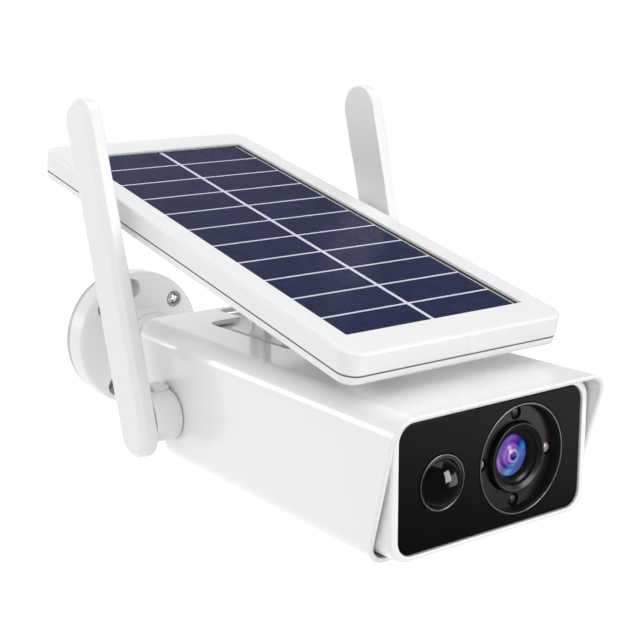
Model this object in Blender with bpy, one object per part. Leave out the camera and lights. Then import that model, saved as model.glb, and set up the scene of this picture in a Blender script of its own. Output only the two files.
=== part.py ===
"""Solar-powered security camera on a wall bracket, with two antennas and a tilting solar panel.

World frame: origin at the centre of the wall plate's back face, +Y into the wall, +Z up, +X to the
right of someone who faces the camera's front. All sizes below are in millimetres. Places in the
camera body are measured from the centre of the front glass: x right, y back, z up.
"""
import math

import bmesh
import bpy
from mathutils import Matrix, Vector

MM = 0.001
GAP = 0.3                      # clearance between touching pieces
FINE = 36                      # sides of the largest round shapes
ROUND = 24                     # sides of middling round shapes
SMALL = 12                     # sides of holes, shanks and other small round shapes
SHANK = 8                      # sides of a screw's shank
CORNER_STEPS = 4               # flats in a rounded corner

# camera body
WALL_Y = 226.0                 # front glass to wall
GLASS = (78.0, 2.0, 41.4)
GLASS_CORNER = 5.5
BEZEL = (84.0, 14.5, 45.6)
BEZEL_FRONT = -0.5
BEZEL_CORNER = 7.0
HOUSING = (71.0, 124.4, 44.4)
HOUSING_FRONT = 15.6
HOUSING_CORNER = 6.0
HOUSING_WALL = 2.0
HOOD_HALF_WIDTH = 45.2         # at the glass
HOOD_TAPER = 0.0427            # narrowing of each side per millimetre towards the rear
HOOD_HALF_HEIGHT = 25.0
HOOD_CORNER = 8.0
HOOD_WALL = 1.8
HOOD_FRONT = (0.8, -0.285)     # rim's y at mid height, and its lean per millimetre of height
HOOD_REAR = (138.3, 0.457)
REAR_COVER_END = 150.0
REAR_BOSS_END = 153.0
REAR_SCREW_AT = (29.0, 15.5)
HOOD_SCREWS_Y = (19.0, 118.0)
ARM_SCREWS_Y = (92.5, 114.5)
SCREW_HOLE = 1.9               # radius of a clearance hole for a body screw

# camera optics
LENS_AT = (12.5, 0.3)
LENS_RECESS_RADIUS = 18.7
BARREL_RADIUS = 11.5
LED_CIRCLE = 14.6
PIR_AT = (-21.5, -0.4)
PIR_RADIUS = 9.5

# bottom ports and buttons
POWER_AT = (-10.0, 48.0)
RESET_AT = (-4.5, 48.0)
USB_AT = (3.5, 48.0)
CARD_AT = (3.5, 54.5)
USB_OPENING = (4.8, 1.9)       # half sizes
CARD_OPENING = (6.3, 1.3)
POWER_RADIUS = 2.6
RESET_RADIUS = 1.2
PORT_HINGE = (58.6, -23.5)     # y and z of the rubber cover's hinge

# wall bracket, along the wall's axis
PLATE_RADIUS = 28.6
PLATE_FACE = 212.0
PLATE_BACK_THICK = 3.5
BOSS_RADIUS = 13.4
BOSS_FACE = 203.6
MOUNT_CIRCLE = 22.4
MOUNT_ANGLES = (100.0, 237.0, 340.0)
MOUNT_RADIUS = 4.0
SCREW_ANGLES = (42.0, 138.0, 290.0)
KNUCKLE_Y = 184.0
KNUCKLE_RADIUS = 8.0
BOLT_HOLE = 2.6
SWIVEL_RADIUS = 12.5
LOCK_RING_RADIUS = 9.4
LOCK_RING_Y = (154.0, 159.4)
TONGUE_HALF = 4.1
STUD_RADIUS = 3.1

# solar panel, in its own tilted frame about the hinge pin
PANEL_TILT = math.radians(13.1)
PANEL_PIN = (103.0, 43.0)
PANEL = (92.5, 196.2)
PANEL_FRONT = -87.6
PANEL_TOP = 17.6
PANEL_FRAME_THICK = 7.7
PANEL_BACK_THICK = 3.1
PANEL_CORNER = 6.2
BORDER_SIDE = 8.65
BORDER_FRONT = 13.3
BORDER_REAR = 12.5

# antennas
HUB_RADIUS = 9.3
HUB_Z = -4.8
HUB_LEFT_Y = 125.0
HUB_RIGHT_Y = 104.0
ANTENNA_INNER_X = 51.5
ANTENNA = (6.0, 17.5, 130.0)
ANTENNA_BELOW = 13.5           # length below the hinge
LEAN_LEFT = math.radians(16.7)
LEAN_RIGHT = math.radians(14.4)

for old in list(bpy.data.objects):
    bpy.data.objects.remove(old, do_unlink=True)


def collection(name):
    group = bpy.data.collections.new(name)
    bpy.context.scene.collection.children.link(group)
    return group


PARTS = collection("solar_security_camera")
CUTTERS = collection("cutters")


def material(name, colour, roughness, metallic=0.0):
    mat = bpy.data.materials.new(name)
    mat.use_nodes = True
    shader = mat.node_tree.nodes["Principled BSDF"]
    shader.inputs["Base Color"].default_value = (*colour, 1.0)
    shader.inputs["Roughness"].default_value = roughness
    shader.inputs["Metallic"].default_value = metallic
    mat.diffuse_color = (*colour, 1.0)
    return mat


WHITE = ((0.86, 0.86, 0.87), 0.35)
LIGHT_GREY = ((0.62, 0.62, 0.63), 0.45)
BLACK_GLOSS = ((0.008, 0.008, 0.009), 0.08)
BLACK_MATT = ((0.02, 0.02, 0.02), 0.5)
RUBBER = ((0.05, 0.05, 0.05), 0.8)
BOARD = ((0.02, 0.16, 0.07), 0.5)
STEEL = ((0.75, 0.75, 0.76), 0.25, 1.0)
CELL_NAVY = ((0.02, 0.03, 0.12), 0.25)
LENS_TINT = ((0.10, 0.05, 0.30), 0.05)
LED_CLEAR = ((0.75, 0.62, 0.58), 0.2)
BATTERY = ((0.10, 0.30, 0.55), 0.4)


class Frame:
    """Where a piece's own millimetre frame lies: an origin, measured from the glass, and a lean about x."""

    def __init__(self, origin=(0.0, 0.0, 0.0), lean=0.0):
        self.origin = Vector(origin)
        self.lean = lean


def place(thing, frame):
    world = frame.origin - Vector((0.0, WALL_Y, 0.0))
    thing.location = world * MM
    thing.rotation_euler = (frame.lean, 0.0, 0.0)


def mesh_object(name, bm, group, frame):
    bmesh.ops.recalc_face_normals(bm, faces=bm.faces)
    bmesh.ops.scale(bm, vec=(MM, MM, MM), verts=bm.verts)
    mesh = bpy.data.meshes.new(name)
    bm.to_mesh(mesh)
    bm.free()
    mesh.shade_smooth()
    mesh.set_sharp_from_angle(angle=math.radians(32.0))
    thing = bpy.data.objects.new(name, mesh)
    group.objects.link(thing)
    place(thing, frame)
    return thing


def part(name, bm, look, frame):
    thing = mesh_object(name, bm, PARTS, frame)
    thing.data.materials.append(material(name, *look))
    return thing


def tool(bm, frame):
    """A helper solid for cuts and unions, which isn't part of the object."""
    thing = mesh_object("cutter_%03d" % len(CUTTERS.objects), bm, CUTTERS, frame)
    thing.hide_render = True
    thing.display_type = "WIRE"
    return thing


def boolean(target, bm, frame, operation="DIFFERENCE"):
    step = target.modifiers.new(operation.lower(), "BOOLEAN")
    step.operation = operation
    step.solver = "EXACT"
    step.object = tool(bm, frame)


def box(low, high, round_axis=None, radius=0.0, segments=CORNER_STEPS, edge=0.0):
    """A box between two corners. Edges along round_axis get a radius, the end rims a small edge round."""
    low, high = Vector(low), Vector(high)
    bm = bmesh.new()
    bmesh.ops.create_cube(bm, size=1.0)
    size = high - low
    bmesh.ops.scale(bm, vec=size, verts=bm.verts)
    bmesh.ops.translate(bm, vec=(low + high) / 2.0, verts=bm.verts)
    if round_axis is not None:
        axis = "XYZ".index(round_axis)
        along = [e for e in bm.edges if abs((e.verts[0].co - e.verts[1].co)[axis]) > size[axis] * 0.5]
        if radius > 0.0:
            bmesh.ops.bevel(bm, geom=along, offset=radius, segments=segments, profile=0.5, affect="EDGES")
        if edge > 0.0:
            rims = [e for e in bm.edges if abs((e.verts[0].co - e.verts[1].co)[axis]) < size[axis] * 0.01]
            bmesh.ops.bevel(bm, geom=rims, offset=edge, segments=1, affect="EDGES")
    elif edge > 0.0:
        bmesh.ops.bevel(bm, geom=bm.edges[:], offset=edge, segments=1, affect="EDGES")
    return bm


TURN = {
    "X": Matrix.Rotation(math.radians(90.0), 4, "Y"),
    "Y": Matrix.Rotation(math.radians(-90.0), 4, "X"),
    "Z": Matrix.Identity(4),
}


def rod(axis, radius, start, end, centre, segments=ROUND, edge=0.0):
    """A cylinder or cone along an axis, from start to end on it; centre gives the other two places."""
    bm = bmesh.new()
    bmesh.ops.create_cone(bm, cap_ends=True, segments=segments, radius1=radius,
                          radius2=radius, depth=end - start)
    if edge > 0.0:
        rims = [e for e in bm.edges if abs(e.verts[0].co.z - e.verts[1].co.z) < 1e-6]
        bmesh.ops.bevel(bm, geom=rims, offset=edge, segments=1, affect="EDGES")
    bmesh.ops.transform(bm, matrix=TURN[axis], verts=bm.verts)
    middle = list(centre)
    middle.insert("XYZ".index(axis), (start + end) / 2.0)
    bmesh.ops.translate(bm, vec=middle, verts=bm.verts)
    return bm


def turned(profile, centre, segments=ROUND):
    """A solid turned about the y axis from (radius, y) points, run down its outer side first."""
    bm = bmesh.new()
    start = math.pi / segments
    verts = [bm.verts.new((radius * math.cos(start), y, radius * math.sin(start))) for radius, y in profile]
    edges = [bm.edges.new(pair) for pair in zip(verts, verts[1:] + verts[:1])]
    bmesh.ops.spin(bm, geom=verts + edges, cent=(0.0, 0.0, 0.0), axis=(0.0, 1.0, 0.0),
                   angle=math.tau, steps=segments, use_merge=True)
    bmesh.ops.remove_doubles(bm, verts=bm.verts, dist=0.001)
    bmesh.ops.translate(bm, vec=(centre[0], 0.0, centre[1]), verts=bm.verts)
    return bm


def on_circle(radius, degrees, centre=(0.0, 0.0)):
    angle = math.radians(degrees)
    return (centre[0] + radius * math.cos(angle), centre[1] + radius * math.sin(angle))


def screw(name, axis, seat, direction, centre, frame, head=2.8, shank=1.3, length=7.0):
    """A pan-head screw with a cross recess. seat is where the head rests, direction where it points."""
    base = seat - direction * GAP
    top = base - direction * 1.7
    head_bm = rod(axis, head, min(base, top), max(base, top), centre, SMALL)
    thing = part(name, head_bm, STEEL, frame)
    tip = seat + direction * length
    inner = base - direction * 0.6
    boolean(thing, rod(axis, shank, min(inner, tip), max(inner, tip), centre, SHANK), frame, "UNION")
    for turn in (0, 1):
        half = [0.35, 0.35]
        half[turn] = head * 0.62
        low = [centre[0] - half[0], centre[1] - half[1]]
        high = [centre[0] + half[0], centre[1] + half[1]]
        place_at = "XYZ".index(axis)
        low.insert(place_at, min(top - direction, top + direction * 0.8))
        high.insert(place_at, max(top - direction, top + direction * 0.8))
        boolean(thing, box(low, high), frame)
    return thing


# ---------------------------------------------------------------------------------- wall bracket
WALL = Frame((0.0, WALL_Y, 0.0))


def wall_side(bm):
    """Shift a shape measured from the glass into the bracket's frame."""
    bmesh.ops.translate(bm, vec=(0.0, -WALL_Y, 0.0), verts=bm.verts)
    return bm


def wall_bracket():
    back_front = WALL_Y - PLATE_BACK_THICK
    disc = rod("Y", PLATE_RADIUS - 0.6, back_front, WALL_Y, (0, 0), FINE)
    back = part("wall_plate_back", wall_side(disc), LIGHT_GREY, WALL)
    disc = rod("Y", PLATE_RADIUS, PLATE_FACE, back_front - GAP, (0, 0), FINE, edge=1.6)
    cover = part("wall_plate_cover", wall_side(disc), WHITE, WALL)
    boss = rod("Y", BOSS_RADIUS, BOSS_FACE, PLATE_FACE + 2.0, (0, 0), ROUND, edge=0.8)
    boolean(cover, wall_side(boss), WALL, "UNION")
    boolean(cover, wall_side(rod("Y", 5.3, BOSS_FACE - 2.0, WALL_Y, (0, 0))), WALL)
    boolean(cover, wall_side(rod("Y", 9.0, 218.8, WALL_Y, (0, 0))), WALL)
    for angle in MOUNT_ANGLES:
        centre = on_circle(MOUNT_CIRCLE, angle)
        boolean(cover, wall_side(rod("Y", MOUNT_RADIUS, PLATE_FACE - 2.0, WALL_Y, centre, SMALL)), WALL)
        boolean(back, wall_side(rod("Y", 2.6, back_front - 2.0, WALL_Y + 2.0, centre, SMALL)), WALL)
    for number, angle in enumerate(SCREW_ANGLES, 1):
        centre = on_circle(MOUNT_CIRCLE, angle)
        boolean(cover, wall_side(rod("Y", 3.4, PLATE_FACE - 2.0, PLATE_FACE + 2.0, centre, SMALL)), WALL)
        boolean(cover, wall_side(rod("Y", 1.7, PLATE_FACE, WALL_Y, centre, SMALL)), WALL)
        boolean(back, wall_side(rod("Y", 1.7, back_front - 2.0, back_front + 2.0, centre, SMALL)), WALL)
        seat = PLATE_FACE + 2.0 - WALL_Y
        screw("plate_screw_%d" % number, "Y", seat, 1.0, centre, WALL, length=10.0)


SWIVEL = Frame((0.0, KNUCKLE_Y, 0.0))


def swivel_side(bm):
    bmesh.ops.translate(bm, vec=(0.0, -KNUCKLE_Y, 0.0), verts=bm.verts)
    return bm


def swivel_and_knuckle():
    flange = 198.5
    disc = rod("Y", SWIVEL_RADIUS, flange, BOSS_FACE - GAP, (0, 0), ROUND, edge=0.8)
    head = part("swivel_head", swivel_side(disc), WHITE, SWIVEL)
    boolean(head, swivel_side(rod("Y", 5.0, flange + 2.0, 218.9, (0, 0))), SWIVEL, "UNION")
    fork = box((-8.9, KNUCKLE_Y, 0.4 - KNUCKLE_RADIUS), (8.9, flange + 2.0, KNUCKLE_RADIUS - 0.4))
    boolean(head, swivel_side(fork), SWIVEL, "UNION")
    eye = rod("X", KNUCKLE_RADIUS, -9.0, 9.0, (KNUCKLE_Y, 0.0))
    boolean(head, swivel_side(eye), SWIVEL, "UNION")
    slot_half = TONGUE_HALF + GAP
    slot = box((-slot_half, KNUCKLE_Y - 20.0, -20.0), (slot_half, flange - 4.0, 20.0))
    boolean(head, swivel_side(slot), SWIVEL)
    boolean(head, swivel_side(rod("X", BOLT_HOLE, -20.0, 20.0, (KNUCKLE_Y, 0.0), SMALL)), SWIVEL)
    shank = rod("X", BOLT_HOLE - GAP, -10.5, 15.0, (KNUCKLE_Y, 0.0), SMALL)
    bolt = part("knuckle_bolt", swivel_side(shank), STEEL, SWIVEL)
    boolean(bolt, swivel_side(rod("X", 4.4, -12.4, -9.3, (KNUCKLE_Y, 0.0), 6)), SWIVEL, "UNION")
    knob = part("knuckle_knob", swivel_side(rod("X", 8.4, 9.3, 17.5, (KNUCKLE_Y, 0.0), ROUND, edge=0.8)),
                LIGHT_GREY, SWIVEL)
    boolean(knob, swivel_side(rod("X", 2.6, 8.0, 15.4, (KNUCKLE_Y, 0.0), SMALL)), SWIVEL)
    for turn in range(6):
        notch = on_circle(9.4, 60.0 * turn, (KNUCKLE_Y, 0.0))
        boolean(knob, swivel_side(rod("X", 2.0, 8.0, 20.0, notch, SMALL)), SWIVEL)


def knuckle_arm():
    arm = part("knuckle_arm", swivel_side(rod("X", 7.7, -TONGUE_HALF, TONGUE_HALF, (KNUCKLE_Y, 0.0))),
               WHITE, SWIVEL)
    neck = box((-TONGUE_HALF, 170.0, -6.4), (TONGUE_HALF, KNUCKLE_Y, 6.4))
    boolean(arm, swivel_side(neck), SWIVEL, "UNION")
    collar = rod("Y", 8.2, 160.0, 172.4, (0, 0), ROUND, edge=0.8)
    boolean(arm, swivel_side(collar), SWIVEL, "UNION")
    boolean(arm, swivel_side(rod("Y", STUD_RADIUS, 145.6, 162.0, (0, 0), SMALL)), SWIVEL, "UNION")
    boolean(arm, swivel_side(rod("X", BOLT_HOLE, -20.0, 20.0, (KNUCKLE_Y, 0.0), SMALL)), SWIVEL)
    nut = rod("Y", LOCK_RING_RADIUS, *LOCK_RING_Y, (0, 0), ROUND, edge=0.6)
    ring = part("lock_ring", swivel_side(nut), LIGHT_GREY, SWIVEL)
    boolean(ring, swivel_side(rod("Y", STUD_RADIUS + 0.4, 150.0, 162.0, (0, 0), SMALL)), SWIVEL)
    for turn in range(8):
        notch = on_circle(9.9, 45.0 * turn)
        boolean(ring, swivel_side(rod("Y", 1.0, 150.0, 162.0, notch, SMALL)), SWIVEL)


# ---------------------------------------------------------------------------------- camera body
BODY = Frame()


def hood_half_width(y):
    return HOOD_HALF_WIDTH - HOOD_TAPER * y


def sleeve(inset, overrun):
    """The hood's outline as a solid prism: narrower to the rear, with leaning front and rear ends."""
    wide = HOOD_HALF_WIDTH - inset
    tall = HOOD_HALF_HEIGHT - inset
    bm = box((-wide, 0.0, -tall), (wide, 1.0, tall), "Y", HOOD_CORNER - inset)
    for vert in bm.verts:
        end, lean, step = (*HOOD_FRONT, -overrun) if vert.co.y < 0.5 else (*HOOD_REAR, overrun)
        vert.co.y = end + lean * vert.co.z + step
        vert.co.x *= (hood_half_width(vert.co.y) - inset) / wide
    return bm


def hood():
    shell = part("hood", sleeve(0.0, 0.0), WHITE, BODY)
    boolean(shell, sleeve(HOOD_WALL, 3.0), BODY)
    boolean(shell, box((-20.0, 78.0, 15.0), (20.0, 131.0, 30.0), "Z", 5.0), BODY)
    boolean(shell, box((-5.0, 125.0, 15.0), (5.0, 146.0, 30.0), "Z", 3.0), BODY)
    boolean(shell, box((-29.0, 28.0, -30.0), (29.0, 110.0, -15.0), "Z", 6.0), BODY)
    for y in (HUB_LEFT_Y, HUB_RIGHT_Y):
        side = -1.0 if y == HUB_LEFT_Y else 1.0
        low, high = sorted((side * 30.0, side * 50.0))
        boolean(shell, rod("X", 5.5, low, high, (y, HUB_Z), SMALL), BODY)
    for number, y in enumerate(HOOD_SCREWS_Y, 1):
        boolean(shell, rod("Z", SCREW_HOLE, -30.0, -20.0, (0.0, y), SMALL), BODY)
        screw("hood_screw_%d" % number, "Z", -HOOD_HALF_HEIGHT, 1.0, (0.0, y), BODY, head=3.0, length=4.7)


def frame_ring(y_low, y_high, outer, outer_corner, inner, inner_corner):
    """Centred rectangular ring between two places along y. Returns the solid and the hole's solid."""
    solid = box((-outer[0] / 2, y_low, -outer[1] / 2), (outer[0] / 2, y_high, outer[1] / 2),
                "Y", outer_corner)
    hole = box((-inner[0] / 2, y_low - 2, -inner[1] / 2), (inner[0] / 2, y_high + 2, inner[1] / 2),
               "Y", inner_corner)
    return solid, hole


def housing():
    width, length, height = HOUSING
    rear = HOUSING_FRONT + length
    inner = (width - 2 * HOUSING_WALL, height - 2 * HOUSING_WALL)
    solid, hole = frame_ring(HOUSING_FRONT, rear, (width, height), HOUSING_CORNER, inner, 4.0)
    shell = part("body_housing", solid, WHITE, BODY)
    boolean(shell, hole, BODY)
    low, high = -height / 2 - 2.0, -height / 2 + HOUSING_WALL + 2.0
    boolean(shell, rod("Z", POWER_RADIUS + GAP, low, high, POWER_AT, SMALL), BODY)
    boolean(shell, rod("Z", RESET_RADIUS + GAP, low, high, RESET_AT, SMALL), BODY)
    for (x, y), (half_x, half_y) in ((USB_AT, USB_OPENING), (CARD_AT, CARD_OPENING)):
        boolean(shell, box((x - half_x, y - half_y, low), (x + half_x, y + half_y, high)), BODY)
    for y in HOOD_SCREWS_Y:
        boolean(shell, rod("Z", SCREW_HOLE, low, high, (0.0, y), SMALL), BODY)
    for y in ARM_SCREWS_Y:
        boolean(shell, rod("Z", SCREW_HOLE, -high, -low, (0.0, y), SMALL), BODY)
    solid, hole = frame_ring(HOUSING_FRONT - 1.3, HOUSING_FRONT - GAP, (width - 1, height - 1), 5.0,
                             (width - 7, height - 7), 3.0)
    seal = part("front_gasket", solid, RUBBER, BODY)
    boolean(seal, hole, BODY)
    cover_front = rear + GAP
    plate = box((-width / 2, cover_front, -height / 2), (width / 2, REAR_COVER_END, height / 2),
                "Y", HOUSING_CORNER, edge=1.5)
    cover = part("rear_cover", plate, WHITE, BODY)
    boolean(cover, rod("Y", 11.0, REAR_COVER_END - 2.0, REAR_BOSS_END, (0, 0), ROUND), BODY, "UNION")
    pocket = box((-inner[0] / 2, cover_front - 2, -inner[1] / 2),
                 (inner[0] / 2, REAR_COVER_END - 2.5, inner[1] / 2), "Y", 4.0)
    boolean(cover, pocket, BODY)
    boolean(cover, rod("Y", 8.0, cover_front + 1.0, REAR_COVER_END - 1.0, (0, 0)), BODY, "UNION")
    boolean(cover, rod("Y", STUD_RADIUS + GAP, 145.2, REAR_BOSS_END + 2.0, (0, 0), SMALL), BODY)
    for number, (sx, sz) in enumerate(((-1, -1), (1, -1), (-1, 1), (1, 1)), 1):
        centre = (REAR_SCREW_AT[0] * sx, REAR_SCREW_AT[1] * sz)
        boolean(cover, rod("Y", 1.7, REAR_COVER_END - 6.0, REAR_COVER_END + 2.0, centre, SMALL), BODY)
        screw("rear_screw_%d" % number, "Y", REAR_COVER_END, -1.0, centre, BODY, length=7.0)


def front():
    width, depth, height = BEZEL
    rear = BEZEL_FRONT + depth
    bezel = part("front_bezel", box((-width / 2, BEZEL_FRONT, -height / 2), (width / 2, rear, height / 2),
                                    "Y", BEZEL_CORNER, edge=1.0), WHITE, BODY)
    boolean(bezel, box((-37.0, -5.0, -19.9), (37.0, rear + 5.0, 19.9), "Y", 4.0), BODY)
    rebate_x, rebate_z = GLASS[0] / 2 + GAP, GLASS[2] / 2 + GAP
    rebate = box((-rebate_x, -5.0, -rebate_z), (rebate_x, GLASS[1] + GAP, rebate_z),
                 "Y", GLASS_CORNER + GAP)
    boolean(bezel, rebate, BODY)
    pane = box((-GLASS[0] / 2, 0.0, -GLASS[2] / 2), (GLASS[0] / 2, GLASS[1], GLASS[2] / 2),
               "Y", GLASS_CORNER)
    glass = part("front_glass", pane, BLACK_GLOSS, BODY)
    boolean(glass, rod("Y", LENS_RECESS_RADIUS, -3.0, 5.0, LENS_AT, FINE), BODY)
    boolean(glass, rod("Y", PIR_RADIUS, -3.0, 5.0, PIR_AT, ROUND), BODY)


def optics():
    rim = LENS_RECESS_RADIUS - GAP
    cup = [(rim, -0.2), (rim, GLASS[1] + GAP), (rim + 1.0, GLASS[1] + GAP), (rim + 1.0, 4.2), (12.0, 4.2),
           (12.0, 3.2), (rim - 0.8, 3.2), (rim - 0.8, -0.2)]
    surround = part("lens_surround", turned(cup, LENS_AT, FINE), BLACK_GLOSS, BODY)
    part("led_board", turned([(18.8, 6.3), (18.8, 7.5), (12.0, 7.5), (12.0, 6.3)], LENS_AT), BOARD, BODY)
    for number in range(4):
        centre = on_circle(LED_CIRCLE, 90.0 * number, LENS_AT)
        boolean(surround, rod("Y", 2.3, 2.0, 6.0, centre, SMALL), BODY)
        profile = [(1.9, 4.2), (1.9, 6.0), (0.0, 6.0), (0.0, 3.4), (1.1, 3.5), (1.7, 3.8)]
        led = turned(profile, centre, SMALL)
        part("led_%d" % (number + 1), led, LED_CLEAR, BODY)
    barrel = [(BARREL_RADIUS, 1.2), (BARREL_RADIUS, 9.5), (7.0, 9.5), (7.0, 17.0), (5.4, 17.0), (5.4, 7.4),
              (7.3, 7.4), (7.3, 3.9), (8.6, 3.0), (8.6, 2.2), (10.6, 1.2)]
    part("lens_barrel", turned(barrel, LENS_AT, ROUND), BLACK_MATT, BODY)
    element = [(6.9, 4.6), (6.9, 7.0), (0.0, 7.0), (0.0, 3.3), (2.5, 3.5), (4.8, 3.9)]
    part("lens_glass", turned(element, LENS_AT, ROUND), LENS_TINT, BODY)
    x, z = LENS_AT
    holder = box((x - 10.0, 11.0, z - 10.0), (x + 10.0, 20.0, z + 10.0))
    mount = part("lens_mount", holder, BLACK_MATT, BODY)
    boolean(mount, rod("Y", 7.3, 5.0, 25.0, LENS_AT), BODY)
    part("sensor_board", box((x - 15.0, 20.4, z - 15.0), (x + 15.0, 21.6, z + 15.0)), BOARD, BODY)
    dome = [(PIR_RADIUS - GAP, -0.3), (PIR_RADIUS - GAP, GLASS[1] + GAP), (10.6, GLASS[1] + GAP), (10.6, 3.6),
            (7.0, 3.6), (7.0, -0.6), (5.8, -2.0), (3.4, -3.0), (0.0, -3.4), (0.0, -4.4), (3.2, -4.0),
            (6.0, -2.7), (7.9, -0.6), (8.2, -0.3)]
    part("pir_dome", turned(dome, PIR_AT, ROUND), BLACK_GLOSS, BODY)
    part("pir_sensor", rod("Y", 4.6, 4.6, 9.0, PIR_AT, SMALL), STEEL, BODY)


def electronics():
    part("main_board", box((25.0, 30.0, -18.0), (26.4, 132.0, 18.0)), BOARD, BODY)
    part("wifi_module", box((26.7, 90.0, -8.0), (29.2, 112.0, 8.0)), STEEL, BODY)
    part("speaker", rod("X", 13.0, -32.5, -27.0, (40.0, 0.0), ROUND), BLACK_MATT, BODY)
    holder = part("battery_holder", box((-19.8, 60.0, -20.0), (19.8, 130.0, 6.0)), BLACK_MATT, BODY)
    boolean(holder, box((-25.0, 61.5, -18.9), (25.0, 128.5, 20.0)), BODY)
    for number, sx in enumerate((-1, 1), 1):
        cell = rod("Y", 9.0, 62.5, 127.5, (9.4 * sx, -9.4), ROUND)
        part("battery_cell_%d" % number, cell, BATTERY, BODY)
    part("port_board", box((-16.0, 36.0, -16.2), (16.0, 57.5, -15.0)), BOARD, BODY)
    x, y = USB_AT
    usb = part("usb_port", box((x - 4.5, y - 1.6, -21.9), (x + 4.5, y + 1.6, -16.5)), STEEL, BODY)
    boolean(usb, box((x - 3.9, y - 1.0, -25.0), (x + 3.9, y + 1.0, -17.5)), BODY)
    x, y = CARD_AT
    card = part("card_slot", box((x - 6.0, y - 1.0, -21.9), (x + 6.0, y + 1.0, -16.5)), STEEL, BODY)
    boolean(card, box((x - 5.5, y - 0.5, -25.0), (x + 5.5, y + 0.5, -17.5)), BODY)


def moving_controls():
    buttons = (("power_button", POWER_AT, POWER_RADIUS), ("reset_button", RESET_AT, RESET_RADIUS))
    for name, at, radius in buttons:
        frame = Frame((at[0], at[1], -22.0))
        part(name, rod("Z", radius, 0.0, 4.6, (0.0, 0.0), ROUND, edge=0.25), BLACK_MATT, frame)
    hinge = Frame((0.0, *PORT_HINGE))
    sheet = box((-16.0, -20.0, -0.6), (16.0, -0.2, 0.8), "Z", 2.5, edge=0.3)
    flap = part("port_cover", sheet, RUBBER, hinge)
    boolean(flap, rod("X", 0.8, -6.0, 6.0, (0.0, 0.0), SMALL), hinge, "UNION")
    tab = box((-4.0, -22.4, -0.6), (4.0, -19.0, 0.4), "Z", 1.5)
    boolean(flap, tab, hinge, "UNION")


# ---------------------------------------------------------------------------------- antennas
def antenna(side, hub_y, lean):
    label = "left" if side < 0 else "right"
    hood_x = hood_half_width(hub_y - HUB_RADIUS) + GAP
    low, high = sorted((side * hood_x, side * (ANTENNA_INNER_X - GAP)))
    hub = part("antenna_hub_" + label, rod("X", HUB_RADIUS, low, high, (hub_y, HUB_Z), ROUND), WHITE, BODY)
    low, high = sorted((side * (HOUSING[0] / 2 + 0.4), side * (hood_x + 2.0)))
    boolean(hub, rod("X", 5.0, low, high, (hub_y, HUB_Z), SMALL), BODY, "UNION")
    low, high = sorted((side * (hood_x + 0.2), side * (hood_x + 6.5)))
    stop = box((low, hub_y - 0.7, HUB_Z + 3.3), (high, hub_y + 6.8, HUB_Z + HUB_RADIUS + 1.6))
    boolean(hub, stop, BODY, "UNION")
    boolean(hub, rod("X", 2.4, -60.0, 60.0, (hub_y, HUB_Z), SMALL), BODY)
    low, high = sorted((side * 37.0, side * (ANTENNA_INNER_X + 3.4)))
    part("antenna_pin_" + label, rod("X", 2.1, low, high, (hub_y, HUB_Z), SMALL), STEEL, BODY)

    thick, width, length = ANTENNA
    frame = Frame((0.0, hub_y, HUB_Z), -lean)
    low, high = sorted((side * ANTENNA_INNER_X, side * (ANTENNA_INNER_X + thick)))
    blade = box((low, -width / 2, -ANTENNA_BELOW), (high, width / 2, length - ANTENNA_BELOW),
                "X", width / 2 - 0.01, 6)
    outer = side * (ANTENNA_INNER_X + thick)
    rims = [e for e in blade.edges if all(abs(v.co.x - outer) < 1e-4 for v in e.verts)]
    bmesh.ops.bevel(blade, geom=rims, offset=2.0, segments=1, affect="EDGES")
    paddle = part("antenna_" + label, blade, WHITE, frame)
    low, high = sorted((side * (ANTENNA_INNER_X - 2.0), side * (ANTENNA_INNER_X + 4.0)))
    boolean(paddle, rod("X", 2.4, low, high, (0.0, 0.0), SMALL), frame)


# ---------------------------------------------------------------------------------- solar panel
TILTED = Frame((0.0, *PANEL_PIN), PANEL_TILT)


def solar_panel():
    half = PANEL[0] / 2
    rear = PANEL_FRONT + PANEL[1]
    under = PANEL_TOP - PANEL_FRAME_THICK
    slab = box((-half, PANEL_FRONT, under), (half, rear, PANEL_TOP), "Z", PANEL_CORNER, edge=0.7)
    rim = part("panel_frame", slab, WHITE, TILTED)
    inner = half - BORDER_SIDE
    opening = box((-inner, PANEL_FRONT + BORDER_FRONT, under - 3), (inner, rear - BORDER_REAR, PANEL_TOP + 3))
    boolean(rim, opening, TILTED)
    ledge = inner + 1.2
    rebate = box((-ledge, PANEL_FRONT + BORDER_FRONT - 1.2, under - 3),
                 (ledge, rear - BORDER_REAR + 1.2, PANEL_TOP - 1.0))
    boolean(rim, rebate, TILTED)
    edge_x = ledge - GAP
    cells = box((-edge_x, PANEL_FRONT + BORDER_FRONT - 0.9, PANEL_TOP - 2.9),
                (edge_x, rear - BORDER_REAR + 0.9, PANEL_TOP - 1.3))
    part("solar_cells", cells, CELL_NAVY, TILTED)
    back_low = under - GAP - PANEL_BACK_THICK
    tray = box((-half + 0.3, PANEL_FRONT + 0.3, back_low), (half - 0.3, rear - 0.3, under - GAP),
               "Z", PANEL_CORNER, edge=0.8)
    back = part("panel_back", tray, WHITE, TILTED)
    lug_top = back_low - GAP
    lug = part("panel_lug", rod("X", 4.8, -13.9, 13.9, (0.0, 0.0)), WHITE, TILTED)
    boolean(lug, box((-13.6, -4.2, 0.0), (13.6, 4.2, lug_top - 0.6)), TILTED, "UNION")
    boolean(lug, box((-13.8, -16.0, lug_top - 1.8), (13.8, 16.0, lug_top), "Z", 4.0), TILTED, "UNION")
    boolean(lug, rod("X", 2.3, -20.0, 20.0, (0.0, 0.0), SMALL), TILTED)


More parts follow.
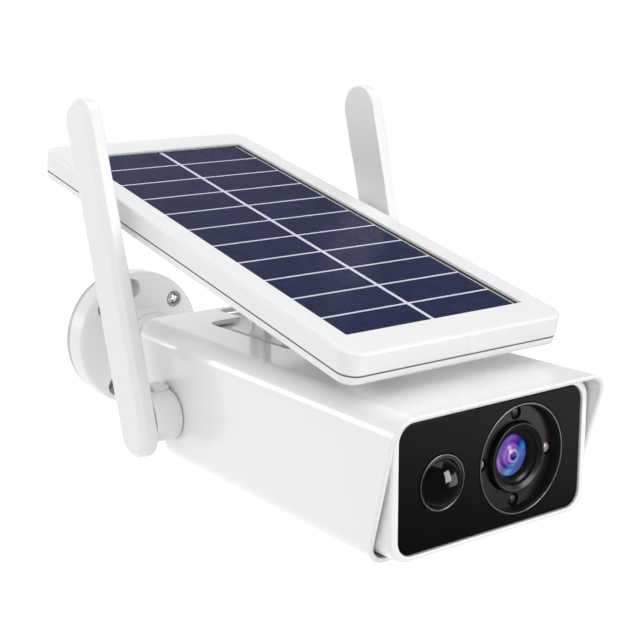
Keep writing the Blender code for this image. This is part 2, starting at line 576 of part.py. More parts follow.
def panel_arm():
    pin_y, pin_z = PANEL_PIN
    floor = HOUSING[2] / 2 + GAP
    arm = part("panel_arm", box((-17.3, pin_y - 4.6, floor), (17.3, pin_y + 4.6, pin_z)), WHITE, BODY)
    boolean(arm, rod("X", 5.0, -17.2, 17.2, (pin_y, pin_z), ROUND), BODY, "UNION")
    boolean(arm, box((-17.3, 87.0, floor), (17.3, 121.0, floor + 2.2), "Z", 3.0), BODY, "UNION")
    boolean(arm, box((-14.3, pin_y - 10.0, floor + 2.2), (14.3, pin_y + 10.0, pin_z + 10.0)), BODY)
    boolean(arm, rod("X", 2.3, -25.0, 25.0, (pin_y, pin_z), SMALL), BODY)
    for number, y in enumerate(ARM_SCREWS_Y, 1):
        boolean(arm, rod("Z", SCREW_HOLE, floor - 2.0, floor + 4.0, (0.0, y), SMALL), BODY)
        screw("arm_screw_%d" % number, "Z", floor + 2.2, -1.0, (0.0, y), BODY, head=3.0, length=5.5)
    pin = part("panel_pin", rod("X", 2.0, -18.5, 18.8, (pin_y, pin_z), SMALL), STEEL, BODY)
    boolean(pin, rod("X", 3.4, -19.4, -17.6, (pin_y, pin_z), SMALL), BODY, "UNION")


wall_bracket()
swivel_and_knuckle()
knuckle_arm()
hood()
housing()
front()
optics()
electronics()
moving_controls()
antenna(-1.0, HUB_LEFT_Y, LEAN_LEFT)
antenna(1.0, HUB_RIGHT_Y, LEAN_RIGHT)
solar_panel()
panel_arm()
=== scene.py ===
"""Looks of the solar-powered security camera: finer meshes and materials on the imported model's bodies.

Sizes are in millimetres, measured from the centre of the front glass: x right, y back, z up. The solar
panel and the antennas have tilted frames of their own about their hinges.
"""
import math

import bmesh
import bpy
from mathutils import Matrix, Vector


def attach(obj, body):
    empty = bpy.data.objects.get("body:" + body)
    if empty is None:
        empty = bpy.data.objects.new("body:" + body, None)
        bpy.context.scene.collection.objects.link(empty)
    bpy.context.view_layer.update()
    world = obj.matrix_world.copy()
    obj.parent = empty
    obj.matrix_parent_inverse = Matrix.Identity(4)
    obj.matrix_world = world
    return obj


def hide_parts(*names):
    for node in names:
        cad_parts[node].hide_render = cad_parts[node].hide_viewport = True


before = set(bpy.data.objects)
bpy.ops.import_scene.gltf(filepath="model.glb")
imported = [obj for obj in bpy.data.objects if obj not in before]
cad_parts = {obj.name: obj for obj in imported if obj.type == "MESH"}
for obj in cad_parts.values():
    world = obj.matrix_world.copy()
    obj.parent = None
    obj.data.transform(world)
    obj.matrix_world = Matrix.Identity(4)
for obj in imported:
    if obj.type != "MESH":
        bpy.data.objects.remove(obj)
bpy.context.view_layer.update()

MM = 0.001
WALL_Y = 226.0
SCENE = bpy.context.scene

# sizes that the part's own source also has
GAP = 0.3
GLASS = (78.0, 2.0, 41.4)
GLASS_CORNER = 5.5
BEZEL = (84.0, 45.6)
BEZEL_CORNER = 7.0
HOUSING = (71.0, 44.4)
HOUSING_CORNER = 6.0
HOUSING_WALL = 2.0
HOUSING_Y = (15.6, 140.0)
REAR_COVER_Y = (140.3, 150.0)
HOOD_HALF = (45.2, 25.0)
HOOD_CORNER = 8.0
HOOD_WALL = 1.8
HOOD_TAPER = 0.0427
HOOD_FRONT = (0.8, -0.285)
HOOD_REAR = (138.3, 0.457)
LENS_AT = (12.5, 0.3)
PIR_AT = (-21.5, -0.4)
LENS_RECESS_RADIUS = 18.7
BARREL_RADIUS = 11.5
PIR_RADIUS = 9.5
LED_CIRCLE = 14.6
HOOD_SCREWS_Y = (19.0, 118.0)
ARM_SCREWS_Y = (92.5, 114.5)
REAR_SCREW_AT = (29.0, 15.5)
SCREW_HOLE = 1.9
POWER_AT = (-10.0, 48.0)
RESET_AT = (-4.5, 48.0)
PANEL_HALF = 46.25
PANEL_Y = (-87.6, 108.6)
PANEL_TOP = 17.6
FRAME_BASE = 9.9
OPENING_HALF = 37.6
OPENING_Y = (-74.3, 96.1)
PANEL_TILT = math.radians(13.1)
PANEL_PIN = (103.0, 43.0)
HUB = {"left": (-1.0, 125.0, 16.7), "right": (1.0, 104.0, 14.4)}
HUB_Z = -4.8
HUB_RADIUS = 9.3
ANTENNA_X = (51.5, 57.5)
ANTENNA_HALF_WIDTH = 8.75
ANTENNA_Z = (-13.5, 116.5)
KNUCKLE_Y = 184.0
BOLT_HOLE = 2.6
SWIVEL_RADIUS = 12.5
LOCK_RING_RADIUS = 9.4
LOCK_RING_Y = (154.0, 159.4)
PLATE_RADIUS = 28.6
MOUNT_CIRCLE = 22.4
MOUNT_ANGLES = (100.0, 237.0, 340.0)
PLATE_SCREW_ANGLES = (42.0, 138.0, 290.0)


# ------------------------------------------------------------------------------------ shape helpers
def body_frame(origin=(0.0, 0.0, 0.0), lean=0.0):
    """World matrix, in metres, of a millimetre frame at a place measured from the glass."""
    x, y, z = origin
    shift = Matrix.Translation(Vector((x, y - WALL_Y, z)) * MM)
    return shift @ Matrix.Rotation(lean, 4, "X") @ Matrix.Scale(MM, 4)


BODY = body_frame()
TILTED = body_frame((0.0, *PANEL_PIN), PANEL_TILT)


def round_rect(half_u, half_v, radius, steps=10, centre=(0.0, 0.0)):
    """Rounded rectangle as a loop of (u, v) points, run anticlockwise."""
    radius = max(radius, 0.02)
    loop = []
    for number, (su, sv) in enumerate(((1, 1), (-1, 1), (-1, -1), (1, -1))):
        for k in range(steps + 1):
            a = math.radians(90.0 * number + 90.0 * k / steps)
            u = centre[0] + su * (half_u - radius) + radius * math.cos(a)
            v = centre[1] + sv * (half_v - radius) + radius * math.sin(a)
            loop.append((u, v))
    return loop


def arc_steps(centre, radius, start, end, steps):
    """Points of an arc in degrees, for profiles."""
    out = []
    for k in range(steps + 1):
        a = math.radians(start + (end - start) * k / steps)
        out.append((centre[0] + radius * math.cos(a), centre[1] + radius * math.sin(a)))
    return out


def rounded(points, radius, steps=4):
    """A closed (a, b) polyline with its corners rounded. radius is a number, or one for each corner."""
    out = []
    count = len(points)
    for k, at in enumerate(points):
        r = radius[k] if isinstance(radius, (list, tuple)) else radius
        here = Vector(at)
        before, after = Vector(points[k - 1]) - here, Vector(points[(k + 1) % count]) - here
        reach = min(r, before.length * 0.49, after.length * 0.49)
        if r <= 0.0 or reach < 1e-4:
            out.append(tuple(here))
            continue
        one, two = here + before.normalized() * reach, here + after.normalized() * reach
        for n in range(steps + 1):
            t = n / steps
            point = (1 - t) ** 2 * one + 2 * t * (1 - t) * here + t ** 2 * two
            out.append(tuple(point))
    return out


def loft(loops, closed=False):
    """Skin through loops of 3-D points, all of one length: closed to a ring, or with two end caps."""
    bm = bmesh.new()
    rows = [[bm.verts.new(p) for p in loop] for loop in loops]
    pairs = list(zip(rows, rows[1:] + (rows[:1] if closed else [])))
    for one, two in pairs:
        for k in range(len(one)):
            n = (k + 1) % len(one)
            bm.faces.new((one[k], one[n], two[n], two[k]))
    if not closed:
        bm.faces.new(rows[0])
        bm.faces.new(rows[-1])
    bmesh.ops.remove_doubles(bm, verts=bm.verts, dist=1e-5)
    bmesh.ops.recalc_face_normals(bm, faces=bm.faces)
    return bm


def lathe(profile, centre=(0.0, 0.0), axis="Y", steps=72):
    """A solid turned about an axis from a closed profile of (radius, place on the axis)."""
    loops = []
    for k in range(steps):
        a = math.tau * (k + 0.5) / steps
        loop = []
        for radius, along in profile:
            u, v = centre[0] + radius * math.cos(a), centre[1] + radius * math.sin(a)
            point = [u, v]
            point.insert("XYZ".index(axis), along)
            loop.append(point)
        loops.append(loop)
    return loft(loops, closed=True)


def disc(radius, start, end, centre=(0.0, 0.0), axis="Y", edge=0.3, steps=72):
    """A round bar with rounded end edges."""
    profile = rounded([(0.0, start), (radius, start), (radius, end), (0.0, end)], [0, edge, edge, 0], 4)
    return lathe(profile, centre, axis, steps)


def block(low, high, radius=0.4, axis="Z", corner=None, steps=6):
    """A bar between two corners, with rounded corners along an axis and rounded end edges."""
    index = "XYZ".index(axis)
    flat = [k for k in range(3) if k != index]
    half = [(high[k] - low[k]) / 2 for k in flat]
    middle = [(high[k] + low[k]) / 2 for k in flat]
    corner = radius if corner is None else corner
    levels = []
    for k in range(5):
        a = math.radians(90.0 * k / 4)
        levels.append((radius * (1 - math.sin(a)), low[index] + radius * (1 - math.cos(a))))
    levels += [(inset, low[index] + high[index] - along) for inset, along in reversed(levels)]
    loops = []
    for inset, along in levels:
        loop = []
        for u, v in round_rect(half[0] - inset, half[1] - inset, corner - inset, steps, middle):
            point = [u, v]
            point.insert(index, along)
            loop.append(point)
        loops.append(loop)
    return loft(loops)


def to_object(name, bm, matrix):
    mesh = bpy.data.meshes.new(name)
    bm.to_mesh(mesh)
    bm.free()
    thing = bpy.data.objects.new(name, mesh)
    SCENE.collection.objects.link(thing)
    thing.data.transform(matrix)
    return thing


def combine(thing, matrix, steps):
    """Cuts, joins or intersects with helper solids, in order, and keeps the resulting mesh."""
    helpers = []
    for number, (operation, bm) in enumerate(steps):
        helper = to_object("helper_%d" % number, bm, matrix)
        helpers.append(helper)
        change = thing.modifiers.new("step_%d" % number, "BOOLEAN")
        change.operation = operation
        change.solver = "EXACT"
        change.object = helper
    graph = bpy.context.evaluated_depsgraph_get()
    made = bpy.data.meshes.new_from_object(thing.evaluated_get(graph))
    thing.modifiers.clear()
    thing.data = made
    for helper in helpers:
        bpy.data.objects.remove(helper, do_unlink=True)


CUT, JOIN = "DIFFERENCE", "UNION"


def piece(name, bm, look, body, stands_for=(), matrix=BODY, steps=(), angle=38.0, soften=0.0):
    """A finished piece: its mesh, edges, material, body, and the CAD nodes that it stands for."""
    thing = to_object(name, bm, matrix)
    if steps:
        combine(thing, matrix, steps)
    mesh = thing.data
    if soften > 0.0:
        change = thing.modifiers.new("soften", "BEVEL")
        change.width = soften * MM
        change.segments = 2
        change.limit_method = "ANGLE"
        change.angle_limit = math.radians(angle)
        graph = bpy.context.evaluated_depsgraph_get()
        mesh = bpy.data.meshes.new_from_object(thing.evaluated_get(graph))
        thing.modifiers.clear()
        thing.data = mesh
    mesh.shade_smooth()
    mesh.set_sharp_from_angle(angle=math.radians(angle))
    mesh.materials.clear()
    mesh.materials.append(look)
    weighted = thing.modifiers.new("weighted", "WEIGHTED_NORMAL")
    weighted.keep_sharp = True
    weighted.weight = 60
    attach(thing, body)
    if stands_for:
        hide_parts(*([stands_for] if isinstance(stands_for, str) else stands_for))
    return thing


# ---------------------------------------------------------------------------------------- materials
class Look:
    """A node tree builder for one procedural material."""

    def __init__(self, name, metallic=0.0):
        self.mat = bpy.data.materials.new(name)
        self.mat.use_nodes = True
        self.tree = self.mat.node_tree
        self.shader = self.tree.nodes["Principled BSDF"]
        self.shader.inputs["Metallic"].default_value = metallic
        self.coord = self.add("ShaderNodeTexCoord").outputs["Object"]

    def add(self, kind, **values):
        node = self.tree.nodes.new(kind)
        for key, value in values.items():
            if hasattr(node, key):
                setattr(node, key, value)
            else:
                node.inputs[key.replace("_", " ")].default_value = value
        return node

    def link(self, one, two):
        self.tree.links.new(one, two)

    def noise(self, scale, detail=3.0, rough=0.55, source=None):
        node = self.add("ShaderNodeTexNoise", Scale=scale, Detail=detail, Roughness=rough)
        self.link(source or self.coord, node.inputs["Vector"])
        return node.outputs["Fac"]

    def spread(self, source, low, high, from_low=0.3, from_high=0.7):
        node = self.add("ShaderNodeMapRange")
        self.link(source, node.inputs["Value"])
        for key, value in (("From Min", from_low), ("From Max", from_high), ("To Min", low),
                           ("To Max", high)):
            node.inputs[key].default_value = value
        return node.outputs["Result"]

    def blend(self, fac, one, two):
        """A colour between two, which are tuples or sockets."""
        node = self.add("ShaderNodeMix", data_type="RGBA")
        if isinstance(fac, float):
            node.inputs[0].default_value = fac
        else:
            self.link(fac, node.inputs[0])
        for index, value in ((6, one), (7, two)):
            if isinstance(value, tuple):
                node.inputs[index].default_value = (*value, 1.0)
            else:
                self.link(value, node.inputs[index])
        return node.outputs[2]

    def colour(self, socket):
        self.link(socket, self.shader.inputs["Base Color"])

    def roughness(self, socket):
        self.link(socket, self.shader.inputs["Roughness"])

    def bump(self, layers):
        """Bumps from (height socket, depth in millimetres) layers, one on another."""
        normal = None
        for height, depth in layers:
            node = self.add("ShaderNodeBump", Strength=1.0, Distance=depth * MM)
            self.link(height, node.inputs["Height"])
            if normal is not None:
                self.link(normal, node.inputs["Normal"])
            normal = node.outputs["Normal"]
        self.link(normal, self.shader.inputs["Normal"])


def moulded(name, one, two, rough=(0.3, 0.42), grain=700.0, depth=0.0015, specular=0.5, coat=0.0):
    """Injection-moulded plastic: faint tone drift, fine spark-eroded grain and slight flow waves."""
    look = Look(name)
    tone = look.blend(look.spread(look.noise(16.0, 2.0), 0.0, 1.0), one, two)
    specks = look.spread(look.noise(420.0, 1.0), 0.0, 0.06, 0.45, 0.85)
    look.colour(look.blend(specks, tone, tuple(c * 0.95 for c in one)))
    patches = look.noise(14.0, 1.0)
    look.roughness(look.spread(patches, *rough))
    look.bump([(look.noise(12.0, 0.0), 0.02), (look.noise(grain, 0.0), depth)])
    look.shader.inputs["Specular IOR Level"].default_value = specular
    if coat:
        look.shader.inputs["Coat Weight"].default_value = coat
        look.shader.inputs["Coat Roughness"].default_value = 0.08
    return look.mat


def polished(name, one, two, rough=(0.05, 0.1), specular=0.35):
    """Glossy black plastic or painted glass, with faint wipe marks in its gloss."""
    look = Look(name)
    look.colour(look.blend(look.spread(look.noise(60.0, 3.0), 0.0, 1.0), one, two))
    stretch = look.add("ShaderNodeMapping")
    stretch.inputs["Scale"].default_value = (1.0, 1.0, 3.0)
    look.link(look.coord, stretch.inputs["Vector"])
    wipes = look.noise(120.0, 6.0, 0.7, stretch.outputs["Vector"])
    look.roughness(look.spread(wipes, *rough))
    look.bump([(look.noise(70.0, 1.0), 0.006)])
    look.shader.inputs["Specular IOR Level"].default_value = specular
    return look.mat


def metal(name, one, two, rough=(0.16, 0.3), brushed=(1.0, 1.0, 1.0)):
    """Plated or brushed metal with fine turning marks."""
    look = Look(name, 1.0)
    stretch = look.add("ShaderNodeMapping")
    stretch.inputs["Scale"].default_value = brushed
    look.link(look.coord, stretch.inputs["Vector"])
    marks = look.noise(2600.0, 4.0, 0.6, stretch.outputs["Vector"])
    look.colour(look.blend(look.spread(look.noise(300.0, 3.0), 0.0, 1.0), one, two))
    look.roughness(look.spread(marks, *rough))
    look.bump([(marks, 0.003)])
    return look.mat


def rubbery(name, one, two):
    look = Look(name)
    look.colour(look.blend(look.spread(look.noise(220.0, 4.0), 0.0, 1.0), one, two))
    look.roughness(look.spread(look.noise(500.0, 3.0), 0.62, 0.82))
    look.bump([(look.noise(2400.0, 3.0), 0.012)])
    look.shader.inputs["Specular IOR Level"].default_value = 0.3
    return look.mat


def board_look():
    """Green solder mask over copper tracks, with bright pads."""
    look = Look("circuit_board")
    cracks = look.add("ShaderNodeTexVoronoi", feature="DISTANCE_TO_EDGE", Scale=420.0)
    look.link(look.coord, cracks.inputs["Vector"])
    tracks = look.spread(cracks.outputs["Distance"], 1.0, 0.0, 0.03, 0.06)
    mask = look.blend(look.spread(look.noise(90.0), 0.0, 1.0), (0.012, 0.13, 0.05), (0.02, 0.19, 0.075))
    green = look.blend(tracks, mask, (0.05, 0.30, 0.12))
    dots = look.add("ShaderNodeTexVoronoi", Scale=260.0)
    look.link(look.coord, dots.inputs["Vector"])
    pads = look.spread(dots.outputs["Distance"], 1.0, 0.0, 0.10, 0.13)
    look.colour(look.blend(pads, green, (0.75, 0.72, 0.62)))
    look.roughness(look.spread(look.noise(700.0), 0.28, 0.45))
    look.bump([(tracks, 0.03), (pads, 0.04)])
    return look.mat


def battery_look():
    """Shrink sleeve with faint wrinkles round the cell."""
    look = Look("battery_sleeve")
    look.colour(look.blend(look.spread(look.noise(120.0), 0.0, 1.0), (0.06, 0.22, 0.45),
                           (0.09, 0.30, 0.58)))
    look.roughness(look.spread(look.noise(400.0), 0.25, 0.42))
    stretch = look.add("ShaderNodeMapping")
    stretch.inputs["Scale"].default_value = (0.3, 3.0, 0.3)
    look.link(look.coord, stretch.inputs["Vector"])
    look.bump([(look.noise(420.0, 3.0, 0.5, stretch.outputs["Vector"]), 0.05)])
    return look.mat


def cell_look():
    """Polycrystalline silicon behind a clear cover: navy with crystal patches and fine contact fingers."""
    look = Look("solar_cell")
    crystal = look.add("ShaderNodeTexVoronoi", Scale=190.0)
    look.link(look.coord, crystal.inputs["Vector"])
    shade = look.add("ShaderNodeSeparateColor")
    look.link(crystal.outputs["Color"], shade.inputs["Color"])
    base = look.blend(shade.outputs["Red"], (0.011, 0.014, 0.050), (0.016, 0.020, 0.063))
    lines = look.add("ShaderNodeTexWave", wave_type="BANDS", bands_direction="X", Scale=175.0)
    look.link(look.coord, lines.inputs["Vector"])
    fingers = look.spread(lines.outputs["Fac"], 0.0, 0.10, 0.85, 1.0)
    look.colour(look.blend(fingers, base, (0.20, 0.21, 0.32)))
    look.roughness(look.spread(look.noise(240.0, 5.0), 0.22, 0.34))
    look.bump([(fingers, 0.01), (look.noise(1500.0, 2.0), 0.004)])
    look.shader.inputs["Specular IOR Level"].default_value = 0.07
    return look.mat


def lens_look():
    """Coated glass with painted reflections: violet to blue across the lens as a painted coating
    reflection, and a pale painted highlight ring round a dark middle.
    """
    look = Look("coated_lens_painted_reflections")
    shift = look.add("ShaderNodeMapping")
    shift.inputs["Location"].default_value = (-LENS_AT[0] * MM, WALL_Y * MM, -LENS_AT[1] * MM)
    look.link(look.coord, shift.inputs["Vector"])
    diagonal = look.add("ShaderNodeVectorMath", operation="DOT_PRODUCT")
    look.link(shift.outputs["Vector"], diagonal.inputs[0])
    diagonal.inputs[1].default_value = (0.75, 0.0, -0.66)
    flat = look.add("ShaderNodeVectorMath", operation="MULTIPLY")
    look.link(shift.outputs["Vector"], flat.inputs[0])
    flat.inputs[1].default_value = (1.0, 0.0, 1.0)
    reach = look.add("ShaderNodeVectorMath", operation="LENGTH")
    look.link(flat.outputs["Vector"], reach.inputs[0])

    def ramp(source, low, high, stops):
        node = look.add("ShaderNodeValToRGB")
        look.link(look.spread(source, 0.0, 1.0, low * MM, high * MM), node.inputs["Fac"])
        while len(node.color_ramp.elements) < len(stops):
            node.color_ramp.elements.new(0.5)
        for element, (at, tone) in zip(node.color_ramp.elements, stops):
            element.position = at
            element.color = (*tone, 1.0)
        return node.outputs["Color"]

    # painted reflection: the coating's reflected colours, violet at the top left to blue at the bottom
    # right
    across = ramp(diagonal.outputs["Value"], -6.8, 6.8, (
        (0.0, (0.05, 0.01, 0.20)), (0.20, (0.26, 0.13, 0.56)), (0.42, (0.14, 0.02, 0.42)),
        (0.55, (0.02, 0.01, 0.28)), (0.72, (0.03, 0.30, 0.68)), (0.84, (0.01, 0.06, 0.50)),
        (1.0, (0.0, 0.005, 0.10))))
    # painted highlight: pale rings round the middle of the lens
    ring = ramp(reach.outputs["Value"], 0.0, 7.0, (
        (0.0, (0.0,) * 3), (0.18, (0.0,) * 3), (0.28, (0.55,) * 3), (0.36, (0.05,) * 3),
        (0.50, (0.22,) * 3), (0.56, (0.0,) * 3), (1.0, (0.0,) * 3)))
    dark = ramp(reach.outputs["Value"], 0.0, 7.0, (
        (0.0, (1.0,) * 3), (0.12, (0.9,) * 3), (0.24, (0.0,) * 3), (0.60, (0.0,) * 3), (0.68, (0.35,) * 3),
        (0.76, (0.0,) * 3), (0.90, (0.15,) * 3), (1.0, (0.85,) * 3)))
    # the painted highlight rings lighten the painted coating reflection towards pale pink
    tone = look.blend(ring, across, (0.80, 0.55, 0.95))
    tone = look.blend(dark, tone, (0.012, 0.006, 0.06))
    look.colour(look.blend(look.spread(look.noise(300.0), 0.0, 0.15), tone, (0.02, 0.01, 0.08)))
    look.roughness(look.spread(look.noise(500.0), 0.04, 0.08))
    look.shader.inputs["Coat Weight"].default_value = 0.15
    look.shader.inputs["Coat Roughness"].default_value = 0.03
    look.shader.inputs["Specular IOR Level"].default_value = 0.25
    return look.mat


WHITE = moulded("white_plastic", (0.80, 0.80, 0.80), (0.785, 0.785, 0.787), (0.30, 0.38))
HOOD_WHITE = moulded("hood_white", (0.80, 0.80, 0.80), (0.79, 0.79, 0.791), (0.24, 0.28), coat=0.5)
FRAME_WHITE = moulded("frame_white", (0.80, 0.80, 0.80), (0.79, 0.79, 0.791), (0.22, 0.28))
GREY = moulded("grey_plastic", (0.54, 0.54, 0.545), (0.51, 0.51, 0.515), (0.38, 0.5))
GLOSS = polished("black_gloss", (0.0010, 0.0010, 0.0011), (0.0016, 0.0016, 0.0018), (0.22, 0.26), 0.08)
GLOSS_RIM = polished("black_rim", (0.006, 0.006, 0.006), (0.01, 0.01, 0.01), (0.14, 0.2), 1.0)
DOME = polished("sensor_dome", (0.0015, 0.0015, 0.0017), (0.003, 0.003, 0.0035), (0.05, 0.08), 0.45)
MATT = moulded("black_matt", (0.012, 0.012, 0.012), (0.018, 0.018, 0.019), (0.35, 0.5), 900.0, 0.004, 0.4)
SATIN = moulded("barrel_black", (0.006, 0.006, 0.0065), (0.010, 0.010, 0.011), (0.2, 0.3), 700.0, 0.002,
                0.22)
RUBBER = rubbery("rubber", (0.03, 0.03, 0.03), (0.045, 0.045, 0.045))
BOARD = board_look()
STEEL = metal("steel", (0.72, 0.72, 0.73), (0.60, 0.60, 0.61), (0.14, 0.26))
CHROME = metal("screw_plating", (0.80, 0.80, 0.80), (0.66, 0.66, 0.67), (0.10, 0.2))
BATTERY = battery_look()
CELL = cell_look()
LENS = lens_look()
LED = moulded("led_lens", (0.42, 0.34, 0.32), (0.34, 0.27, 0.26), (0.2, 0.3), 700.0, 0.002, 0.5, 0.3)
LED_DIM = moulded("led_lens_dark", (0.012, 0.011, 0.011), (0.018, 0.016, 0.016), (0.3, 0.4), 700.0, 0.002,
                  0.3)
SHEET = moulded("backing_sheet", (0.62, 0.60, 0.72), (0.68, 0.66, 0.76), (0.3, 0.4), 700.0, 0.003)
SEAL = rubbery("seal", (0.10, 0.10, 0.10), (0.13, 0.13, 0.13))
# painted shadow: dark brown strips stand for the shaded groove between the backing sheet and the frame's
# inner wall
GROOVE_SHADOW_PAINT = moulded("painted_groove_shadow", (0.055, 0.042, 0.032), (0.08, 0.06, 0.045), (0.5, 0.6), 700.0, 0.006)

CARRIED = {
    BOARD: ("led_board", "sensor_board", "main_board", "port_board"),
    STEEL: ("antenna_pin_left", "antenna_pin_right", "panel_pin", "pir_sensor", "wifi_module", "usb_port",
            "card_slot", "knuckle_bolt"),
    MATT: ("lens_mount", "speaker", "battery_holder"), RUBBER: ("front_gasket",),
    BATTERY: ("battery_cell_1", "battery_cell_2"),
}
for look, names in CARRIED.items():
    for name in names:
        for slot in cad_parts[name].material_slots:
            slot.material = look


# --------------------------------------------------------------------------------------------- hood
def hood_half(y):
    return HOOD_HALF[0] - HOOD_TAPER * y


def hood_loop(inset, end, inward):
    """The hood's outline at a distance from one of its leaning ends."""
    at, lean = HOOD_FRONT if end == "front" else HOOD_REAR
    sign = 1.0 if end == "front" else -1.0
    loop = []
    for u, v in round_rect(HOOD_HALF[0] - inset, HOOD_HALF[1] - inset, HOOD_CORNER - inset, 14):
        y = at + lean * v + sign * inward
        loop.append((u * (hood_half(y) - inset) / (HOOD_HALF[0] - inset), y, v))
    return loop


def make_hood():
    wall, soft = HOOD_WALL, 0.75
    outer = [(0.0, soft), (0.06, 0.42), (0.22, 0.2), (0.45, 0.05), (0.75, 0.0)]
    inner = [(wall - 0.75, 0.0), (wall - 0.45, 0.05), (wall - 0.22, 0.2), (wall - 0.06, 0.42), (wall, soft)]
    loops = [hood_loop(i, "front", d) for i, d in reversed(outer)]
    loops += [hood_loop(i, "rear", d) for i, d in outer + inner]
    loops += [hood_loop(i, "front", d) for i, d in reversed(inner)]
    steps = [
        (CUT, block((-20.0, 78.0, 15.0), (20.0, 131.0, 30.0), 0.05, "Z", 5.0, 10)),
        (CUT, block((-5.0, 125.0, 15.0), (5.0, 146.0, 30.0), 0.05, "Z", 3.0, 10)),
        (CUT, block((-29.0, 28.0, -30.0), (29.0, 110.0, -15.0), 0.05, "Z", 6.0, 10)),
    ]
    for side, y, lean in HUB.values():
        low, high = sorted((side * 30.0, side * 50.0))
        steps.append((CUT, disc(5.5, low, high, (y, HUB_Z), "X", 0.05, 40)))
    for y in HOOD_SCREWS_Y:
        steps.append((CUT, disc(SCREW_HOLE, -30.0, -20.0, (0.0, y), "Z", 0.05, 32)))
    piece("hood_shell", loft(loops, closed=True), HOOD_WHITE, "camera", "hood",
          steps=steps, angle=40.0, soften=0.22)


# --------------------------------------------------------------------------------- housing and front
def rect_loop(half_u, half_v, radius, y, steps=12):
    return [(u, y, v) for u, v in round_rect(half_u, half_v, radius, steps)]


def make_housing():
    half_x, half_z = HOUSING[0] / 2, HOUSING[1] / 2
    front, rear = HOUSING_Y
    loops = [rect_loop(half_x - i, half_z - i, HOUSING_CORNER - i, y)
             for i, y in ((0.4, front), (0.12, front + 0.12), (0.0, front + 0.4), (0.0, rear - 0.4),
                          (0.12, rear - 0.12), (0.4, rear))]
    inner = (half_x - HOUSING_WALL, half_z - HOUSING_WALL, HOUSING_CORNER - HOUSING_WALL)
    loops += [rect_loop(*inner, y) for y in (rear, front)]
    steps = []
    openings = [(POWER_AT, 2.9), (RESET_AT, 1.5)] + [((0.0, y), SCREW_HOLE) for y in HOOD_SCREWS_Y]
    for at, radius in openings:
        steps.append((CUT, disc(radius, -26.0, -18.0, at, "Z", 0.05, 32)))
    for y in ARM_SCREWS_Y:
        steps.append((CUT, disc(SCREW_HOLE, 18.0, 26.0, (0.0, y), "Z", 0.05, 32)))
    steps.append((CUT, block((-1.3, 46.1, -26.0), (8.3, 49.9, -18.0), 0.05, "Z", 1.2)))
    steps.append((CUT, block((-2.8, 53.2, -26.0), (9.8, 55.8, -18.0), 0.05, "Z", 0.3)))
    piece("housing_shell", loft(loops, closed=True), WHITE, "camera", "body_housing",
          steps=steps)

    front, rear = REAR_COVER_Y
    levels = [(0.0, front), (0.0, rear - 1.5), (0.12, rear - 0.9), (0.45, rear - 0.4), (0.95, rear - 0.1),
              (1.5, rear)]
    loops = [rect_loop(half_x - i, half_z - i, HOUSING_CORNER - i, y) for i, y in levels]
    pocket = loft([rect_loop(*inner, y) for y in (front - 2.0, rear - 2.5)])
    boss = lathe(rounded([(0.0, 148.0), (11.0, 148.0), (11.0, 153.0), (0.0, 153.0)], [0, 0, 0.7, 0]))
    core = lathe([(0.0, 141.3), (8.0, 141.3), (8.0, 149.0), (0.0, 149.0)])
    steps = [(JOIN, boss), (CUT, pocket), (JOIN, core), (CUT, disc(3.4, 145.2, 155.0, edge=0.05))]
    for sx in (-1, 1):
        for sz in (-1, 1):
            at = (REAR_SCREW_AT[0] * sx, REAR_SCREW_AT[1] * sz)
            steps.append((CUT, disc(1.7, 144.0, 152.0, at, edge=0.05, steps=32)))
    piece("rear_cover_shell", loft(loops), WHITE, "camera", "rear_cover", steps=steps,
          soften=0.15)


def make_front():
    half_x, half_z = BEZEL[0] / 2, BEZEL[1] / 2
    outer = [(0.0, 14.0), (0.0, 0.7), (0.08, 0.25), (0.3, -0.12), (0.62, -0.37), (1.0, -0.5)]
    loops = [rect_loop(half_x - i, half_z - i, BEZEL_CORNER - i, y) for i, y in outer]
    rebate = (GLASS[0] / 2 + GAP, GLASS[2] / 2 + GAP, GLASS_CORNER + GAP)
    for grow, y in ((0.35, -0.5), (0.1, -0.4), (0.0, -0.1), (0.0, 2.3)):
        loops.append(rect_loop(rebate[0] + grow, rebate[1] + grow, rebate[2] + grow, y))
    loops += [rect_loop(37.0, 19.9, 4.0, y) for y in (2.3, 14.0)]
    piece("bezel", loft(loops, closed=True), FRAME_WHITE, "camera", "front_bezel")

    half_x, half_z = GLASS[0] / 2, GLASS[2] / 2
    levels = [(0.5, 0.0), (0.2, 0.07), (0.05, 0.22), (0.0, 0.5), (0.0, 2.0)]
    plate = loft([rect_loop(half_x - i, half_z - i, GLASS_CORNER - i, y, 16) for i, y in levels])
    steps = [(CUT, disc(LENS_RECESS_RADIUS, -3.0, 5.0, LENS_AT, edge=0.05, steps=128)),
             (CUT, disc(PIR_RADIUS, -3.0, 5.0, PIR_AT, edge=0.05, steps=96))]
    piece("front_plate", plate, GLOSS, "camera", "front_glass", steps=steps)


